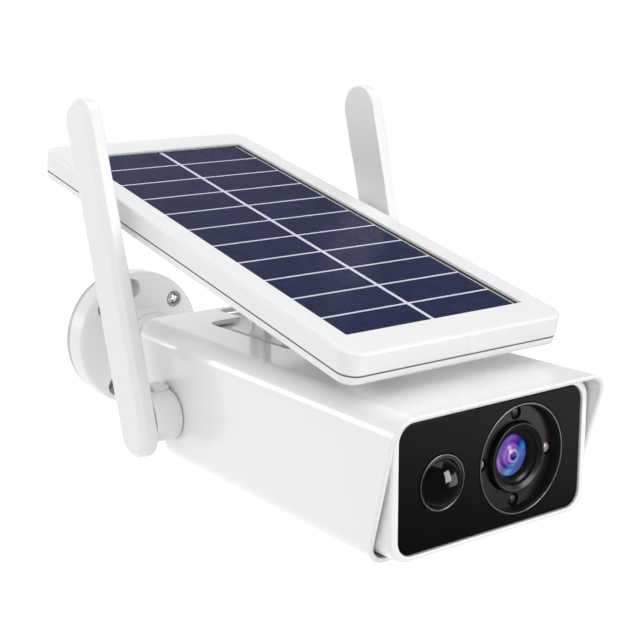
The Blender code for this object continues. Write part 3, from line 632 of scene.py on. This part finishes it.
def make_optics():
    rim = LENS_RECESS_RADIUS - GAP
    cup = [(rim, 0.35), (rim, 2.3), (rim + 1.0, 2.3), (rim + 1.0, 4.2), (12.0, 4.2), (12.0, 3.2),
           (rim - 1.6, 3.2), (rim - 1.25, 0.8), (rim - 0.9, 0.35)]
    holes = []
    for number in range(4):
        a = math.radians(90.0 * number)
        at = (LENS_AT[0] + LED_CIRCLE * math.cos(a), LENS_AT[1] + LED_CIRCLE * math.sin(a))
        holes.append((CUT, disc(2.3, 2.0, 6.0, at, edge=0.05, steps=36)))
        dome = [(1.9, 4.2), (1.9, 6.0), (0.0, 6.0), (0.0, 3.35), (0.6, 3.38), (1.15, 3.5), (1.6, 3.75)]
        piece("led_lens_%d" % (number + 1), lathe(dome, at, steps=36), LED if number % 2 == 0 else LED_DIM,
              "camera", "led_%d" % (number + 1))
    piece("lens_cup", lathe(cup, LENS_AT, steps=128), SATIN, "camera", "lens_surround",
          steps=holes)
    ring = rounded([(rim + 0.02, 0.30), (rim + 0.02, -0.15), (rim - 0.75, -0.15), (rim - 0.85, 0.30)],
                   [0, 0.3, 0.3, 0], 5)
    piece("lens_rim", lathe(ring, LENS_AT, steps=128), GLOSS_RIM, "camera")

    barrel = rounded([(BARREL_RADIUS, 1.2), (BARREL_RADIUS, 9.5), (7.0, 9.5), (7.0, 17.0), (5.4, 17.0),
                      (5.4, 7.4), (7.15, 7.4),
                      (7.0, 4.6), (7.6, 3.4), (8.9, 2.7), (9.1, 1.9), (10.7, 1.2)],
                     [0.6, 0, 0, 0, 0, 0, 0, 0.3, 0.4, 0.3, 0.25, 0.3], 5)
    piece("barrel", lathe(barrel, LENS_AT, steps=112), SATIN, "camera", "lens_barrel")
    crown = arc_steps((0.0, 9.6), 6.9, 312.0, 270.0, 8)
    element = [(6.85, 4.9), (6.85, 7.0), (0.0, 7.0)] + [(max(r, 0.0), y + 0.75) for r, y in reversed(crown)]
    piece("lens_element", lathe(element, LENS_AT, steps=96), LENS, "camera", "lens_glass")

    dome = [(9.2, -0.1), (9.2, 2.3), (10.6, 2.3), (10.6, 3.6), (7.0, 3.6), (7.0, -0.4), (5.9, -1.9),
            (3.4, -2.95), (0.0, -3.3)]
    front = [(0.0, -4.4), (1.6, -4.3), (3.2, -3.98), (4.7, -3.4), (6.0, -2.55), (7.0, -1.5), (7.7, -0.55),
             (8.0, -0.1)]
    piece("sensor_dome", lathe(dome + front, PIR_AT, steps=96), DOME, "camera", "pir_dome")
    ring = rounded([(9.2, 0.2), (9.2, -0.3), (8.35, -0.3), (8.2, 0.2)], [0, 0.3, 0.3, 0], 5)
    piece("sensor_rim", lathe(ring, PIR_AT, steps=96), GLOSS_RIM, "camera")


# ----------------------------------------------------------------------------------- screws and keys
def screw(name, stands_for, body, centre, axis, seat, direction, head=2.8, shank=1.3, length=7.0,
          matrix=BODY):
    """A pan head with a cross recess and a threaded shank."""
    base = seat - direction * 0.3
    top = base - direction * 1.7
    crown = [(0.0, top), (head * 0.45, top + direction * 0.04), (head * 0.75, top + direction * 0.28),
             (head * 0.94, top + direction * 0.8), (head, base - direction * 0.25), (head - 0.2, base)]
    tip = seat + direction * length
    thread = [(shank, base)]
    turns = max(int(length / 0.7), 2)
    for k in range(turns):
        at = seat + direction * (0.3 + (length - 1.0) * k / turns)
        thread += [(shank * 0.82, at), (shank, at + direction * 0.3)]
    thread += [(shank * 0.7, tip - direction * 0.3), (0.0, tip)]
    steps = []
    index = "XYZ".index(axis)
    for turn in (0, 1):
        half = [0.38, 0.38]
        half[turn] = head * 0.6
        low, high = [centre[0] - half[0], centre[1] - half[1]], [centre[0] + half[0], centre[1] + half[1]]
        ends = sorted((top - direction * 1.0, top + direction * 1.05))
        low.insert(index, ends[0])
        high.insert(index, ends[1])
        steps.append((CUT, block(low, high, 0.12, axis)))
    piece(name, lathe(crown + thread, centre, axis, 40), CHROME, body, stands_for, matrix, steps,
          32.0)


def polar(radius, degrees, centre=(0.0, 0.0)):
    a = math.radians(degrees)
    return (centre[0] + radius * math.cos(a), centre[1] + radius * math.sin(a))


def make_screws():
    for number, angle in enumerate(PLATE_SCREW_ANGLES, 1):
        screw("plate_bolt_%d" % number, "plate_screw_%d" % number, "wall_mount",
              polar(MOUNT_CIRCLE, angle), "Y", 214.0, 1.0, length=9.5)
    for number, y in enumerate(HOOD_SCREWS_Y, 1):
        screw("hood_bolt_%d" % number, "hood_screw_%d" % number, "camera", (0.0, y), "Z", -25.0, 1.0, 3.0,
              length=4.6)
    for number, (sx, sz) in enumerate(((-1, -1), (1, -1), (-1, 1), (1, 1)), 1):
        at = (REAR_SCREW_AT[0] * sx, REAR_SCREW_AT[1] * sz)
        screw("rear_bolt_%d" % number, "rear_screw_%d" % number, "camera", at, "Y", REAR_COVER_Y[1], -1.0)
    for number, y in enumerate(ARM_SCREWS_Y, 1):
        screw("arm_bolt_%d" % number, "arm_screw_%d" % number, "camera", (0.0, y), "Z", 24.7, -1.0, 3.0,
              length=5.4)


def make_controls():
    key = rounded([(0.0, -22.0), (2.6, -22.0), (2.6, -17.4), (0.0, -17.4)], [0, 0.35, 0.25, 0])
    dish = lathe([(0.0, -22.2), (1.7, -22.2), (1.1, -21.9), (0.0, -21.8)], POWER_AT, "Z", 48)
    piece("power_key", lathe(key, POWER_AT, "Z", 48), MATT, "power_button", "power_button",
          steps=[(CUT, dish)])
    key = rounded([(0.0, -22.0), (1.2, -22.0), (1.2, -17.4), (0.0, -17.4)], [0, 0.25, 0.2, 0])
    piece("reset_key", lathe(key, RESET_AT, "Z", 40), MATT, "reset_button", "reset_button")
    y, z = 58.6, -23.5
    flap = block((-16.0, y - 20.0, z - 0.6), (16.0, y - 0.2, z + 0.8), 0.3, "Z", 2.5, 10)
    steps = [(JOIN, disc(0.8, -6.0, 6.0, (y, z), "X", 0.2, 28)),
             (JOIN, block((-4.0, y - 22.4, z - 0.55), (4.0, y - 19.0, z + 0.35), 0.2, "Z", 1.4))]
    for k in range(5):
        at = y - 21.9 + 0.5 * k
        steps.append((CUT, block((-2.8, at, z - 1.0), (2.8, at + 0.22, z - 0.47), 0.04, "X")))
    piece("port_flap", flap, RUBBER, "port_cover", "port_cover", steps=steps)


# ----------------------------------------------------------------------------------------- antennas
def make_antenna(label, side, hub_y, lean):
    matrix = body_frame((0.0, hub_y, HUB_Z), -math.radians(lean))
    inner, outer = ANTENNA_X
    half = ANTENNA_HALF_WIDTH
    low, high = ANTENNA_Z
    levels = [(0.5, inner), (0.15, inner + 0.13), (0.0, inner + 0.5), (0.0, outer - 2.1),
              (0.06, outer - 1.85),
              (0.2, outer - 1.65), (1.75, outer - 0.2), (1.95, outer - 0.06), (2.25, outer)]
    loops = []
    for inset, x in levels:
        loops.append([(side * x, u, v) for u, v in
                      round_rect(half - inset, (high - low) / 2 - inset, half - inset - 0.05, 20,
                                 (0.0, (high + low) / 2))])
    bore = sorted((side * (inner - 2.0), side * (inner + 4.0)))
    piece("antenna_blade_" + label, loft(loops), WHITE, "antenna_" + label, "antenna_" + label,
          matrix,
          [(CUT, disc(2.4, *bore, axis="X", edge=0.05, steps=36))], angle=50.0)

    root = hood_half(hub_y - HUB_RADIUS) + GAP
    end = ANTENNA_X[0] - GAP
    foot = HOUSING[0] / 2 + 0.4
    profile = rounded([(5.0, side * foot), (5.0, side * root), (HUB_RADIUS, side * root),
                       (HUB_RADIUS, side * (end - 0.1)), (HUB_RADIUS - 0.1, side * end),
                       (2.4, side * end), (2.4, side * foot)], [0, 0, 0.5, 0.4, 0.3, 0, 0])
    low, high = sorted((side * (root + 0.3), side * (root + 6.5)))
    stop = block((low, hub_y - 0.7, HUB_Z + 3.3), (high, hub_y + 6.8, HUB_Z + 10.9), 0.45, "X", 0.7)
    piece("antenna_base_" + label, lathe(profile, (hub_y, HUB_Z), "X", 80), WHITE, "camera",
          "antenna_hub_" + label,
          steps=[(JOIN, stop),
                                  (CUT, disc(2.4, -60.0, 60.0, (hub_y, HUB_Z), "X", 0.05, 36))])


# --------------------------------------------------------------------------------------- solar panel
def panel_loop(inset, z, steps=12, corner=6.2):
    middle = (0.0, sum(PANEL_Y) / 2)
    half_y = (PANEL_Y[1] - PANEL_Y[0]) / 2
    return [(u, v, z) for u, v in round_rect(PANEL_HALF - inset, half_y - inset, corner - inset, steps,
                                             middle)]


def opening_loop(grow, z, corner=0.5):
    middle = (0.0, sum(OPENING_Y) / 2)
    half_y = (OPENING_Y[1] - OPENING_Y[0]) / 2
    return [(u, v, z) for u, v in round_rect(OPENING_HALF + grow, half_y + grow, corner, 12, middle)]


def make_panel():
    top, base = PANEL_TOP, FRAME_BASE
    loops = [panel_loop(i, z) for i, z in
             ((0.7, base), (0.3, base + 0.12), (0.08, base + 0.38), (0.0, base + 0.8), (0.0, top - 1.0),
              (0.08, top - 0.6), (0.3, top - 0.3), (0.62, top - 0.09), (1.1, top))]
    loops += [opening_loop(g, z) for g, z in
              ((0.45, top), (0.12, top - 0.1), (0.0, top - 0.35), (0.0, top - 1.0),
               (1.2, top - 1.0), (1.2, base))]
    piece("panel_rim", loft(loops, closed=True), FRAME_WHITE, "solar_panel", "panel_frame",
          TILTED)

    low, high = base - 3.4, base - 0.3
    loops = [panel_loop(i, z) for i, z in
             ((1.9, low), (1.15, low + 0.16), (0.65, low + 0.5), (0.4, low + 1.0), (0.3, low + 1.6),
              (0.3, high - 0.5), (0.42, high - 0.15), (0.75, high))]
    ribs = []
    for x in (-30.0, 30.0):
        ribs.append((CUT, block((x - 6.0, -70.0, low - 1.0), (x + 6.0, 90.0, low + 0.35), 0.3, "Z", 3.0)))
    piece("panel_tray", loft(loops), FRAME_WHITE, "solar_panel", "panel_back", TILTED,
          ribs)

    low, high = base - 0.42, base + 0.12
    loops = [panel_loop(inset, z) for inset, z in ((0.34, low), (0.34, high), (1.4, high), (1.4, low))]
    piece("panel_seal", loft(loops, closed=True), SEAL, "solar_panel", (), TILTED)

    sheet_top = top - 1.55
    sheet = block((-OPENING_HALF - 0.5, OPENING_Y[0] - 0.5, top - 2.9),
                  (OPENING_HALF + 0.5, OPENING_Y[1] + 0.5, sheet_top), 0.1, "Z", 0.4)
    piece("backing_sheet", sheet, SHEET, "solar_panel", "solar_cells", TILTED)
    # painted shadow line along each side of the opening: a dark strip where the groove is in shade
    for side in (-1.0, 1.0):
        low, high = sorted((side * (OPENING_HALF - 0.75), side * (OPENING_HALF + 0.35)))
        edge = block((low, OPENING_Y[0] + 0.1, sheet_top - 0.1),
                     (high, OPENING_Y[1] - 0.1, sheet_top + 0.1), 0.05, "Y")
        piece("painted_groove_shadow_" + ("left" if side < 0 else "right"), edge, GROOVE_SHADOW_PAINT, "solar_panel", (),
              TILTED)

    rows, gap, centre_gap, margin = 11, 1.15, 1.7, 1.45
    length = (OPENING_Y[1] - OPENING_Y[0] - gap * (rows - 1) - 0.3) / rows
    cells = bmesh.new()
    for column in (-1.0, 1.0):
        x_low, x_high = sorted((column * centre_gap / 2, column * (OPENING_HALF - margin)))
        if column < 0:
            x_low = -OPENING_HALF + 0.2
        for row in range(rows):
            y = OPENING_Y[0] + 0.15 + row * (length + gap)
            cell = block((x_low, y, sheet_top - 0.05), (x_high, y + length, sheet_top + 0.14), 0.06, "Z",
                         0.25, 3)
            mesh = bpy.data.meshes.new("cell")
            cell.to_mesh(mesh)
            cell.free()
            cells.from_mesh(mesh)
            bpy.data.meshes.remove(mesh)
    piece("cells", cells, CELL, "solar_panel", (), TILTED)

    lug_top = base - 3.7
    lug = lathe(rounded([(0.0, -13.9), (4.8, -13.9), (4.8, 13.9), (0.0, 13.9)], [0, 0.4, 0.4, 0]), axis="X")
    steps = [(JOIN, block((-13.6, -4.2, 0.0), (13.6, 4.2, lug_top - 0.6), 0.3)),
             (JOIN, block((-13.8, -16.0, lug_top - 1.8), (13.8, 16.0, lug_top), 0.3, "Z", 4.0, 8)),
             (CUT, disc(2.3, -20.0, 20.0, axis="X", edge=0.05, steps=40))]
    piece("panel_hinge", lug, WHITE, "solar_panel", "panel_lug", TILTED, steps, soften=0.2)


def make_arm():
    pin_y, pin_z = PANEL_PIN
    floor = 22.5
    foot = block((-17.3, 87.0, floor), (17.3, 121.0, floor + 2.2), 0.4, "Z", 3.0, 8)
    steps = [(JOIN, block((-17.3, pin_y - 4.6, floor + 0.2), (17.3, pin_y + 4.6, pin_z), 0.5, "X")),
             (JOIN, lathe(rounded([(0.0, -17.2), (5.0, -17.2), (5.0, 17.2), (0.0, 17.2)],
                                  [0, 0.5, 0.5, 0]), PANEL_PIN, "X")),
             (CUT, block((-14.3, pin_y - 10.0, floor + 2.2), (14.3, pin_y + 10.0, pin_z + 10.0), 0.3, "X")),
             (CUT, disc(2.3, -25.0, 25.0, PANEL_PIN, "X", 0.05, 40))]
    for side in (-1.0, 1.0):
        low, high = sorted((side * 16.5, side * 20.0))
        steps.append((CUT, block((low, pin_y - 2.4, floor + 3.0), (high, pin_y + 2.4, pin_z - 6.2), 0.5,
                                 "X", 0.8)))
    for y in ARM_SCREWS_Y:
        steps.append((CUT, disc(SCREW_HOLE, floor - 2.0, floor + 4.0, (0.0, y), "Z", 0.05, 32)))
    piece("panel_bracket", foot, WHITE, "camera", "panel_arm", steps=steps, soften=0.2)


# --------------------------------------------------------------------------------------- wall bracket
def make_bracket():
    cover = rounded([(0.0, 203.6), (13.4, 203.6), (13.4, 212.0), (PLATE_RADIUS, 212.0),
                     (PLATE_RADIUS, 222.2), (0.0, 222.2)],
                    [0, 1.3, 1.0, 2.2, 0.3, 0], 7)
    steps = [(CUT, disc(5.3, 200.0, 230.0, edge=0.05)), (CUT, disc(9.0, 218.8, 230.0, edge=0.05))]
    back_steps = []
    for angle in MOUNT_ANGLES:
        at = polar(MOUNT_CIRCLE, angle)
        flare = [(0.0, 210.0), (5.2, 210.0), (4.5, 212.0), (4.12, 212.25), (4.0, 212.6), (4.0, 230.0),
                 (0.0, 230.0)]
        steps.append((CUT, lathe(flare, at, steps=48)))
        back_steps.append((CUT, disc(BOLT_HOLE, 215.0, 230.0, at, edge=0.05, steps=40)))
    for angle in PLATE_SCREW_ANGLES:
        at = polar(MOUNT_CIRCLE, angle)
        flare = [(0.0, 210.0), (4.2, 210.0), (3.75, 212.0), (3.5, 212.2), (3.4, 212.5), (3.4, 214.0),
                 (1.7, 214.0), (1.7, 230.0), (0.0, 230.0)]
        steps.append((CUT, lathe(flare, at, steps=48)))
        back_steps.append((CUT, disc(1.7, 220.0, 224.5, at, edge=0.05, steps=32)))
    piece("plate_cover", lathe(cover, steps=128), WHITE, "wall_mount", "wall_plate_cover",
          steps=steps,
          angle=42.0)
    radius = PLATE_RADIUS - 0.6
    back = rounded([(0.0, 222.5), (radius, 222.5), (radius, WALL_Y), (0.0, WALL_Y)], [0, 0.4, 0.4, 0])
    piece("plate_base", lathe(back, steps=128), GREY, "wall_mount", "wall_plate_back",
          steps=back_steps)

    head = rounded([(0.0, 198.5), (SWIVEL_RADIUS, 198.5), (SWIVEL_RADIUS, 203.3), (5.0, 203.3),
                    (5.0, 218.9), (0.0, 218.9)],
                   [0, 0.9, 0.5, 0.2, 0.6, 0], 6)
    fork = block((-8.9, KNUCKLE_Y, -7.6), (8.9, 200.5, 7.6), 0.5, "Y", 1.0)
    eye = lathe(rounded([(0.0, -9.0), (8.0, -9.0), (8.0, 9.0), (0.0, 9.0)], [0, 0.6, 0.6, 0]),
                (KNUCKLE_Y, 0.0), "X")
    slot = block((-4.4, 160.0, -20.0), (4.4, 194.5, 20.0), 0.05, "Z")
    steps = [(JOIN, fork), (JOIN, eye), (CUT, slot),
             (CUT, disc(BOLT_HOLE, -20.0, 20.0, (KNUCKLE_Y, 0.0), "X", 0.05, 40))]
    piece("swivel_fork", lathe(head, steps=96), WHITE, "swivel", "swivel_head",
          steps=steps, soften=0.25)

    knob = rounded([(0.0, 9.3), (8.4, 9.3), (8.4, 17.5), (0.0, 17.5)], [0, 0.7, 1.0, 0], 6)
    steps = [(CUT, disc(BOLT_HOLE, 8.0, 15.4, (KNUCKLE_Y, 0.0), "X", 0.05, 40)),
             (CUT, lathe([(0.0, 18.5), (5.2, 18.5), (4.6, 16.9), (0.0, 16.7)], (KNUCKLE_Y, 0.0), "X", 48))]
    for turn in range(6):
        steps.append((CUT, disc(2.0, 8.0, 20.0, polar(9.4, 60.0 * turn, (KNUCKLE_Y, 0.0)), "X", 0.05, 32)))
    piece("hand_knob", lathe(knob, (KNUCKLE_Y, 0.0), "X", 96), GREY, "knob", "knuckle_knob",
          steps=steps,
          soften=0.25)

    arm = lathe(rounded([(0.0, -4.1), (7.7, -4.1), (7.7, 4.1), (0.0, 4.1)], [0, 0.5, 0.5, 0]),
                (KNUCKLE_Y, 0.0), "X")
    collar = lathe(rounded([(0.0, 160.0), (8.2, 160.0), (8.2, 172.4), (0.0, 172.4)], [0, 0.9, 0.9, 0]))
    thread = [(0.0, 145.6), (2.7, 145.6)]
    for k in range(14):
        at = 146.0 + 0.95 * k
        thread += [(3.1, at + 0.2), (3.1, at + 0.35), (2.75, at + 0.65), (2.75, at + 0.8)]
    thread += [(3.1, 160.0), (3.1, 162.0), (0.0, 162.0)]
    steps = [(JOIN, block((-4.1, 170.0, -6.4), (4.1, KNUCKLE_Y, 6.4), 0.5, "Y", 0.8)), (JOIN, collar),
             (JOIN, lathe(thread, steps=48)),
             (CUT, disc(BOLT_HOLE, -20.0, 20.0, (KNUCKLE_Y, 0.0), "X", 0.05, 40))]
    piece("knuckle_link", arm, WHITE, "knuckle", "knuckle_arm", steps=steps)

    near, far = LOCK_RING_Y
    ring = rounded([(3.5, near), (LOCK_RING_RADIUS, near), (LOCK_RING_RADIUS, far), (3.5, far)],
                   [0.3, 0.7, 0.7, 0.3])
    steps = [(CUT, disc(1.0, 150.0, 162.0, polar(LOCK_RING_RADIUS + 0.5, 22.5 * turn), edge=0.05, steps=24))
             for turn in range(16)]
    piece("lock_nut", lathe(ring, steps=96), GREY, "lock_ring", "lock_ring", steps=steps)


make_hood()
make_housing()
make_front()
make_optics()
make_screws()
make_controls()
for label, (side, hub_y, lean) in HUB.items():
    make_antenna(label, side, hub_y, lean)
make_panel()
make_arm()
make_bracket()


# --------------------------------------------------------------------------------- floor and lighting
def make_floor():
    rings = []
    for radius in (0.0, 0.15, 0.35, 0.7, 1.1, 1.6, 2.4):
        turns = [math.tau * k / 64 for k in range(64)]
        rings.append([(radius * math.cos(a), radius * math.sin(a), 0.0) for a in turns])
    bm = bmesh.new()
    rows = [[bm.verts.new(p) for p in loop] for loop in rings]
    for one, two in zip(rows, rows[1:]):
        for k in range(64):
            bm.faces.new((one[k], two[k], two[(k + 1) % 64], one[(k + 1) % 64]))
    bmesh.ops.remove_doubles(bm, verts=bm.verts, dist=1e-6)
    bmesh.ops.recalc_face_normals(bm, faces=bm.faces)
    if sum(face.normal.z for face in bm.faces) < 0.0:
        bmesh.ops.reverse_faces(bm, faces=bm.faces)
    floor = to_object("floor", bm, Matrix.Translation((0.0, -0.12, -0.20)))
    look = Look("pale_floor")
    look.colour(look.blend(look.spread(look.noise(6.0), 0.0, 1.0), (0.80, 0.80, 0.80), (0.78, 0.78, 0.78)))
    look.roughness(look.spread(look.noise(40.0), 0.75, 0.9))
    look.shader.inputs["Specular IOR Level"].default_value = 0.1
    place = look.add("ShaderNodeSeparateXYZ")
    look.link(look.coord, place.inputs[0])
    glow = look.add("ShaderNodeEmission")
    path = look.add("ShaderNodeLightPath")
    strength = look.add("ShaderNodeMath", operation="MAXIMUM")
    look.link(look.spread(place.outputs["X"], 0.22, 0.22, -0.5, 0.5), strength.inputs[0])
    look.link(path.outputs["Is Camera Ray"], strength.inputs[1])
    look.link(strength.outputs[0], glow.inputs["Strength"])
    seen = look.add("ShaderNodeAddShader")
    look.link(look.shader.outputs[0], seen.inputs[0])
    look.link(glow.outputs[0], seen.inputs[1])
    hidden = look.add("ShaderNodeMath", operation="MAXIMUM")
    look.link(look.add("ShaderNodeNewGeometry").outputs["Backfacing"], hidden.inputs[0])
    look.link(path.outputs["Is Glossy Ray"], hidden.inputs[1])
    clear = look.add("ShaderNodeBsdfTransparent").outputs[0]
    mix = look.add("ShaderNodeMixShader")
    look.link(hidden.outputs[0], mix.inputs[0])
    look.link(seen.outputs[0], mix.inputs[1])
    look.link(clear, mix.inputs[2])
    look.link(mix.outputs[0], look.tree.nodes["Material Output"].inputs["Surface"])
    floor.data.materials.append(look.mat)


def area_light(name, place, target, size, power, only=None):
    data = bpy.data.lights.new(name, "AREA")
    data.shape = "RECTANGLE"
    data.size, data.size_y = size
    data.energy = power
    light = bpy.data.objects.new(name, data)
    light.location = place
    light.rotation_euler = (Vector(target) - Vector(place)).to_track_quat("-Z", "Y").to_euler()
    light.visible_diffuse = only != "glossy"
    light.visible_glossy = only != "diffuse"
    SCENE.collection.objects.link(light)


def level_ramp(tree, source, stops):
    """Grey levels along a value that runs from -1 to 1."""
    shift = tree.nodes.new("ShaderNodeMapRange")
    shift.inputs["From Min"].default_value = -1.0
    tree.links.new(source, shift.inputs["Value"])
    ramp = tree.nodes.new("ShaderNodeValToRGB")
    tree.links.new(shift.outputs["Result"], ramp.inputs["Fac"])
    while len(ramp.color_ramp.elements) < len(stops):
        ramp.color_ramp.elements.new(0.5)
    for element, (at, level) in zip(ramp.color_ramp.elements, stops):
        element.position = at
        element.color = (level, level, level, 1.0)
    return ramp.outputs["Color"]


def make_world():
    """White to look at, soft room light on matt surfaces, and a darker studio in reflections."""
    world = bpy.data.worlds.new("studio")
    SCENE.world = world
    world.use_nodes = True
    tree = world.node_tree
    tree.nodes.clear()
    out = tree.nodes.new("ShaderNodeOutputWorld")
    coord = tree.nodes.new("ShaderNodeTexCoord")
    split = tree.nodes.new("ShaderNodeSeparateXYZ")
    tree.links.new(coord.outputs["Generated"], split.inputs[0])
    path = tree.nodes.new("ShaderNodeLightPath")
    shades = []
    height = split.outputs["Z"]
    behind = tree.nodes.new("ShaderNodeVectorMath")
    behind.operation = "DOT_PRODUCT"
    tree.links.new(coord.outputs["Generated"], behind.inputs[0])
    behind.inputs[1].default_value = (0.0, 0.94, -0.34)
    for strength, source, stops in (
            (1.22, height, ((0.0, 0.30), (0.46, 0.50), (0.50, 0.98), (0.60, 0.98), (0.70, 0.66),
                            (1.0, 0.62))),
            (1.5, behind.outputs["Value"], ((0.0, 0.05), (0.55, 0.07), (0.74, 0.14), (0.84, 0.80),
                                            (1.0, 1.0))),
            (1.0, height, ((0.0, 1.0), (1.0, 1.0)))):
        shade = tree.nodes.new("ShaderNodeBackground")
        shade.inputs["Strength"].default_value = strength
        tree.links.new(level_ramp(tree, source, stops), shade.inputs["Color"])
        shades.append(shade.outputs[0])
    for choice, shade in ((path.outputs["Is Glossy Ray"], shades[1]),
                          (path.outputs["Is Camera Ray"], shades[2])):
        mix = tree.nodes.new("ShaderNodeMixShader")
        tree.links.new(choice, mix.inputs[0])
        tree.links.new(shades[0], mix.inputs[1])
        tree.links.new(shade, mix.inputs[2])
        shades[0] = mix.outputs[0]
    tree.links.new(shades[0], out.inputs["Surface"])


make_floor()
make_world()
area_light("overhead", (0.10, -0.20, 0.95), (0.0, -0.12, 0.0), (1.0, 1.0), 3.9)
area_light("front_fill", (0.25, -1.05, 0.40), (0.0, -0.2, 0.0), (0.8, 0.6), 1.8, "diffuse")
area_light("left_back", (-0.75, 0.70, 0.20), (0.0, -0.12, 0.0), (0.5, 0.22), 1.8, "glossy")
area_light("front_window", (0.22, -0.70, 0.13), (-0.02, -0.226, 0.0), (0.22, 0.36), 2.6, "glossy")
area_light("right_front", (0.58, -0.74, -0.06), (0.03, -0.226, 0.02), (0.5, 0.4), 1.3, "glossy")
SCENE.view_settings.view_transform = "Standard"

camera_data = bpy.data.cameras.new("camera")
camera_data.sensor_width = 36.0
camera_data.lens = 82.63
camera_data.clip_start = 0.02
camera_data.clip_end = 20.0
camera = bpy.data.objects.new("camera", camera_data)
camera.location = (-0.30935, -0.53785, 0.14947)
camera.rotation_euler = Vector((0.5954, 0.7704, -0.2281)).to_track_quat("-Z", "Y").to_euler()
SCENE.collection.objects.link(camera)
SCENE.camera = camera
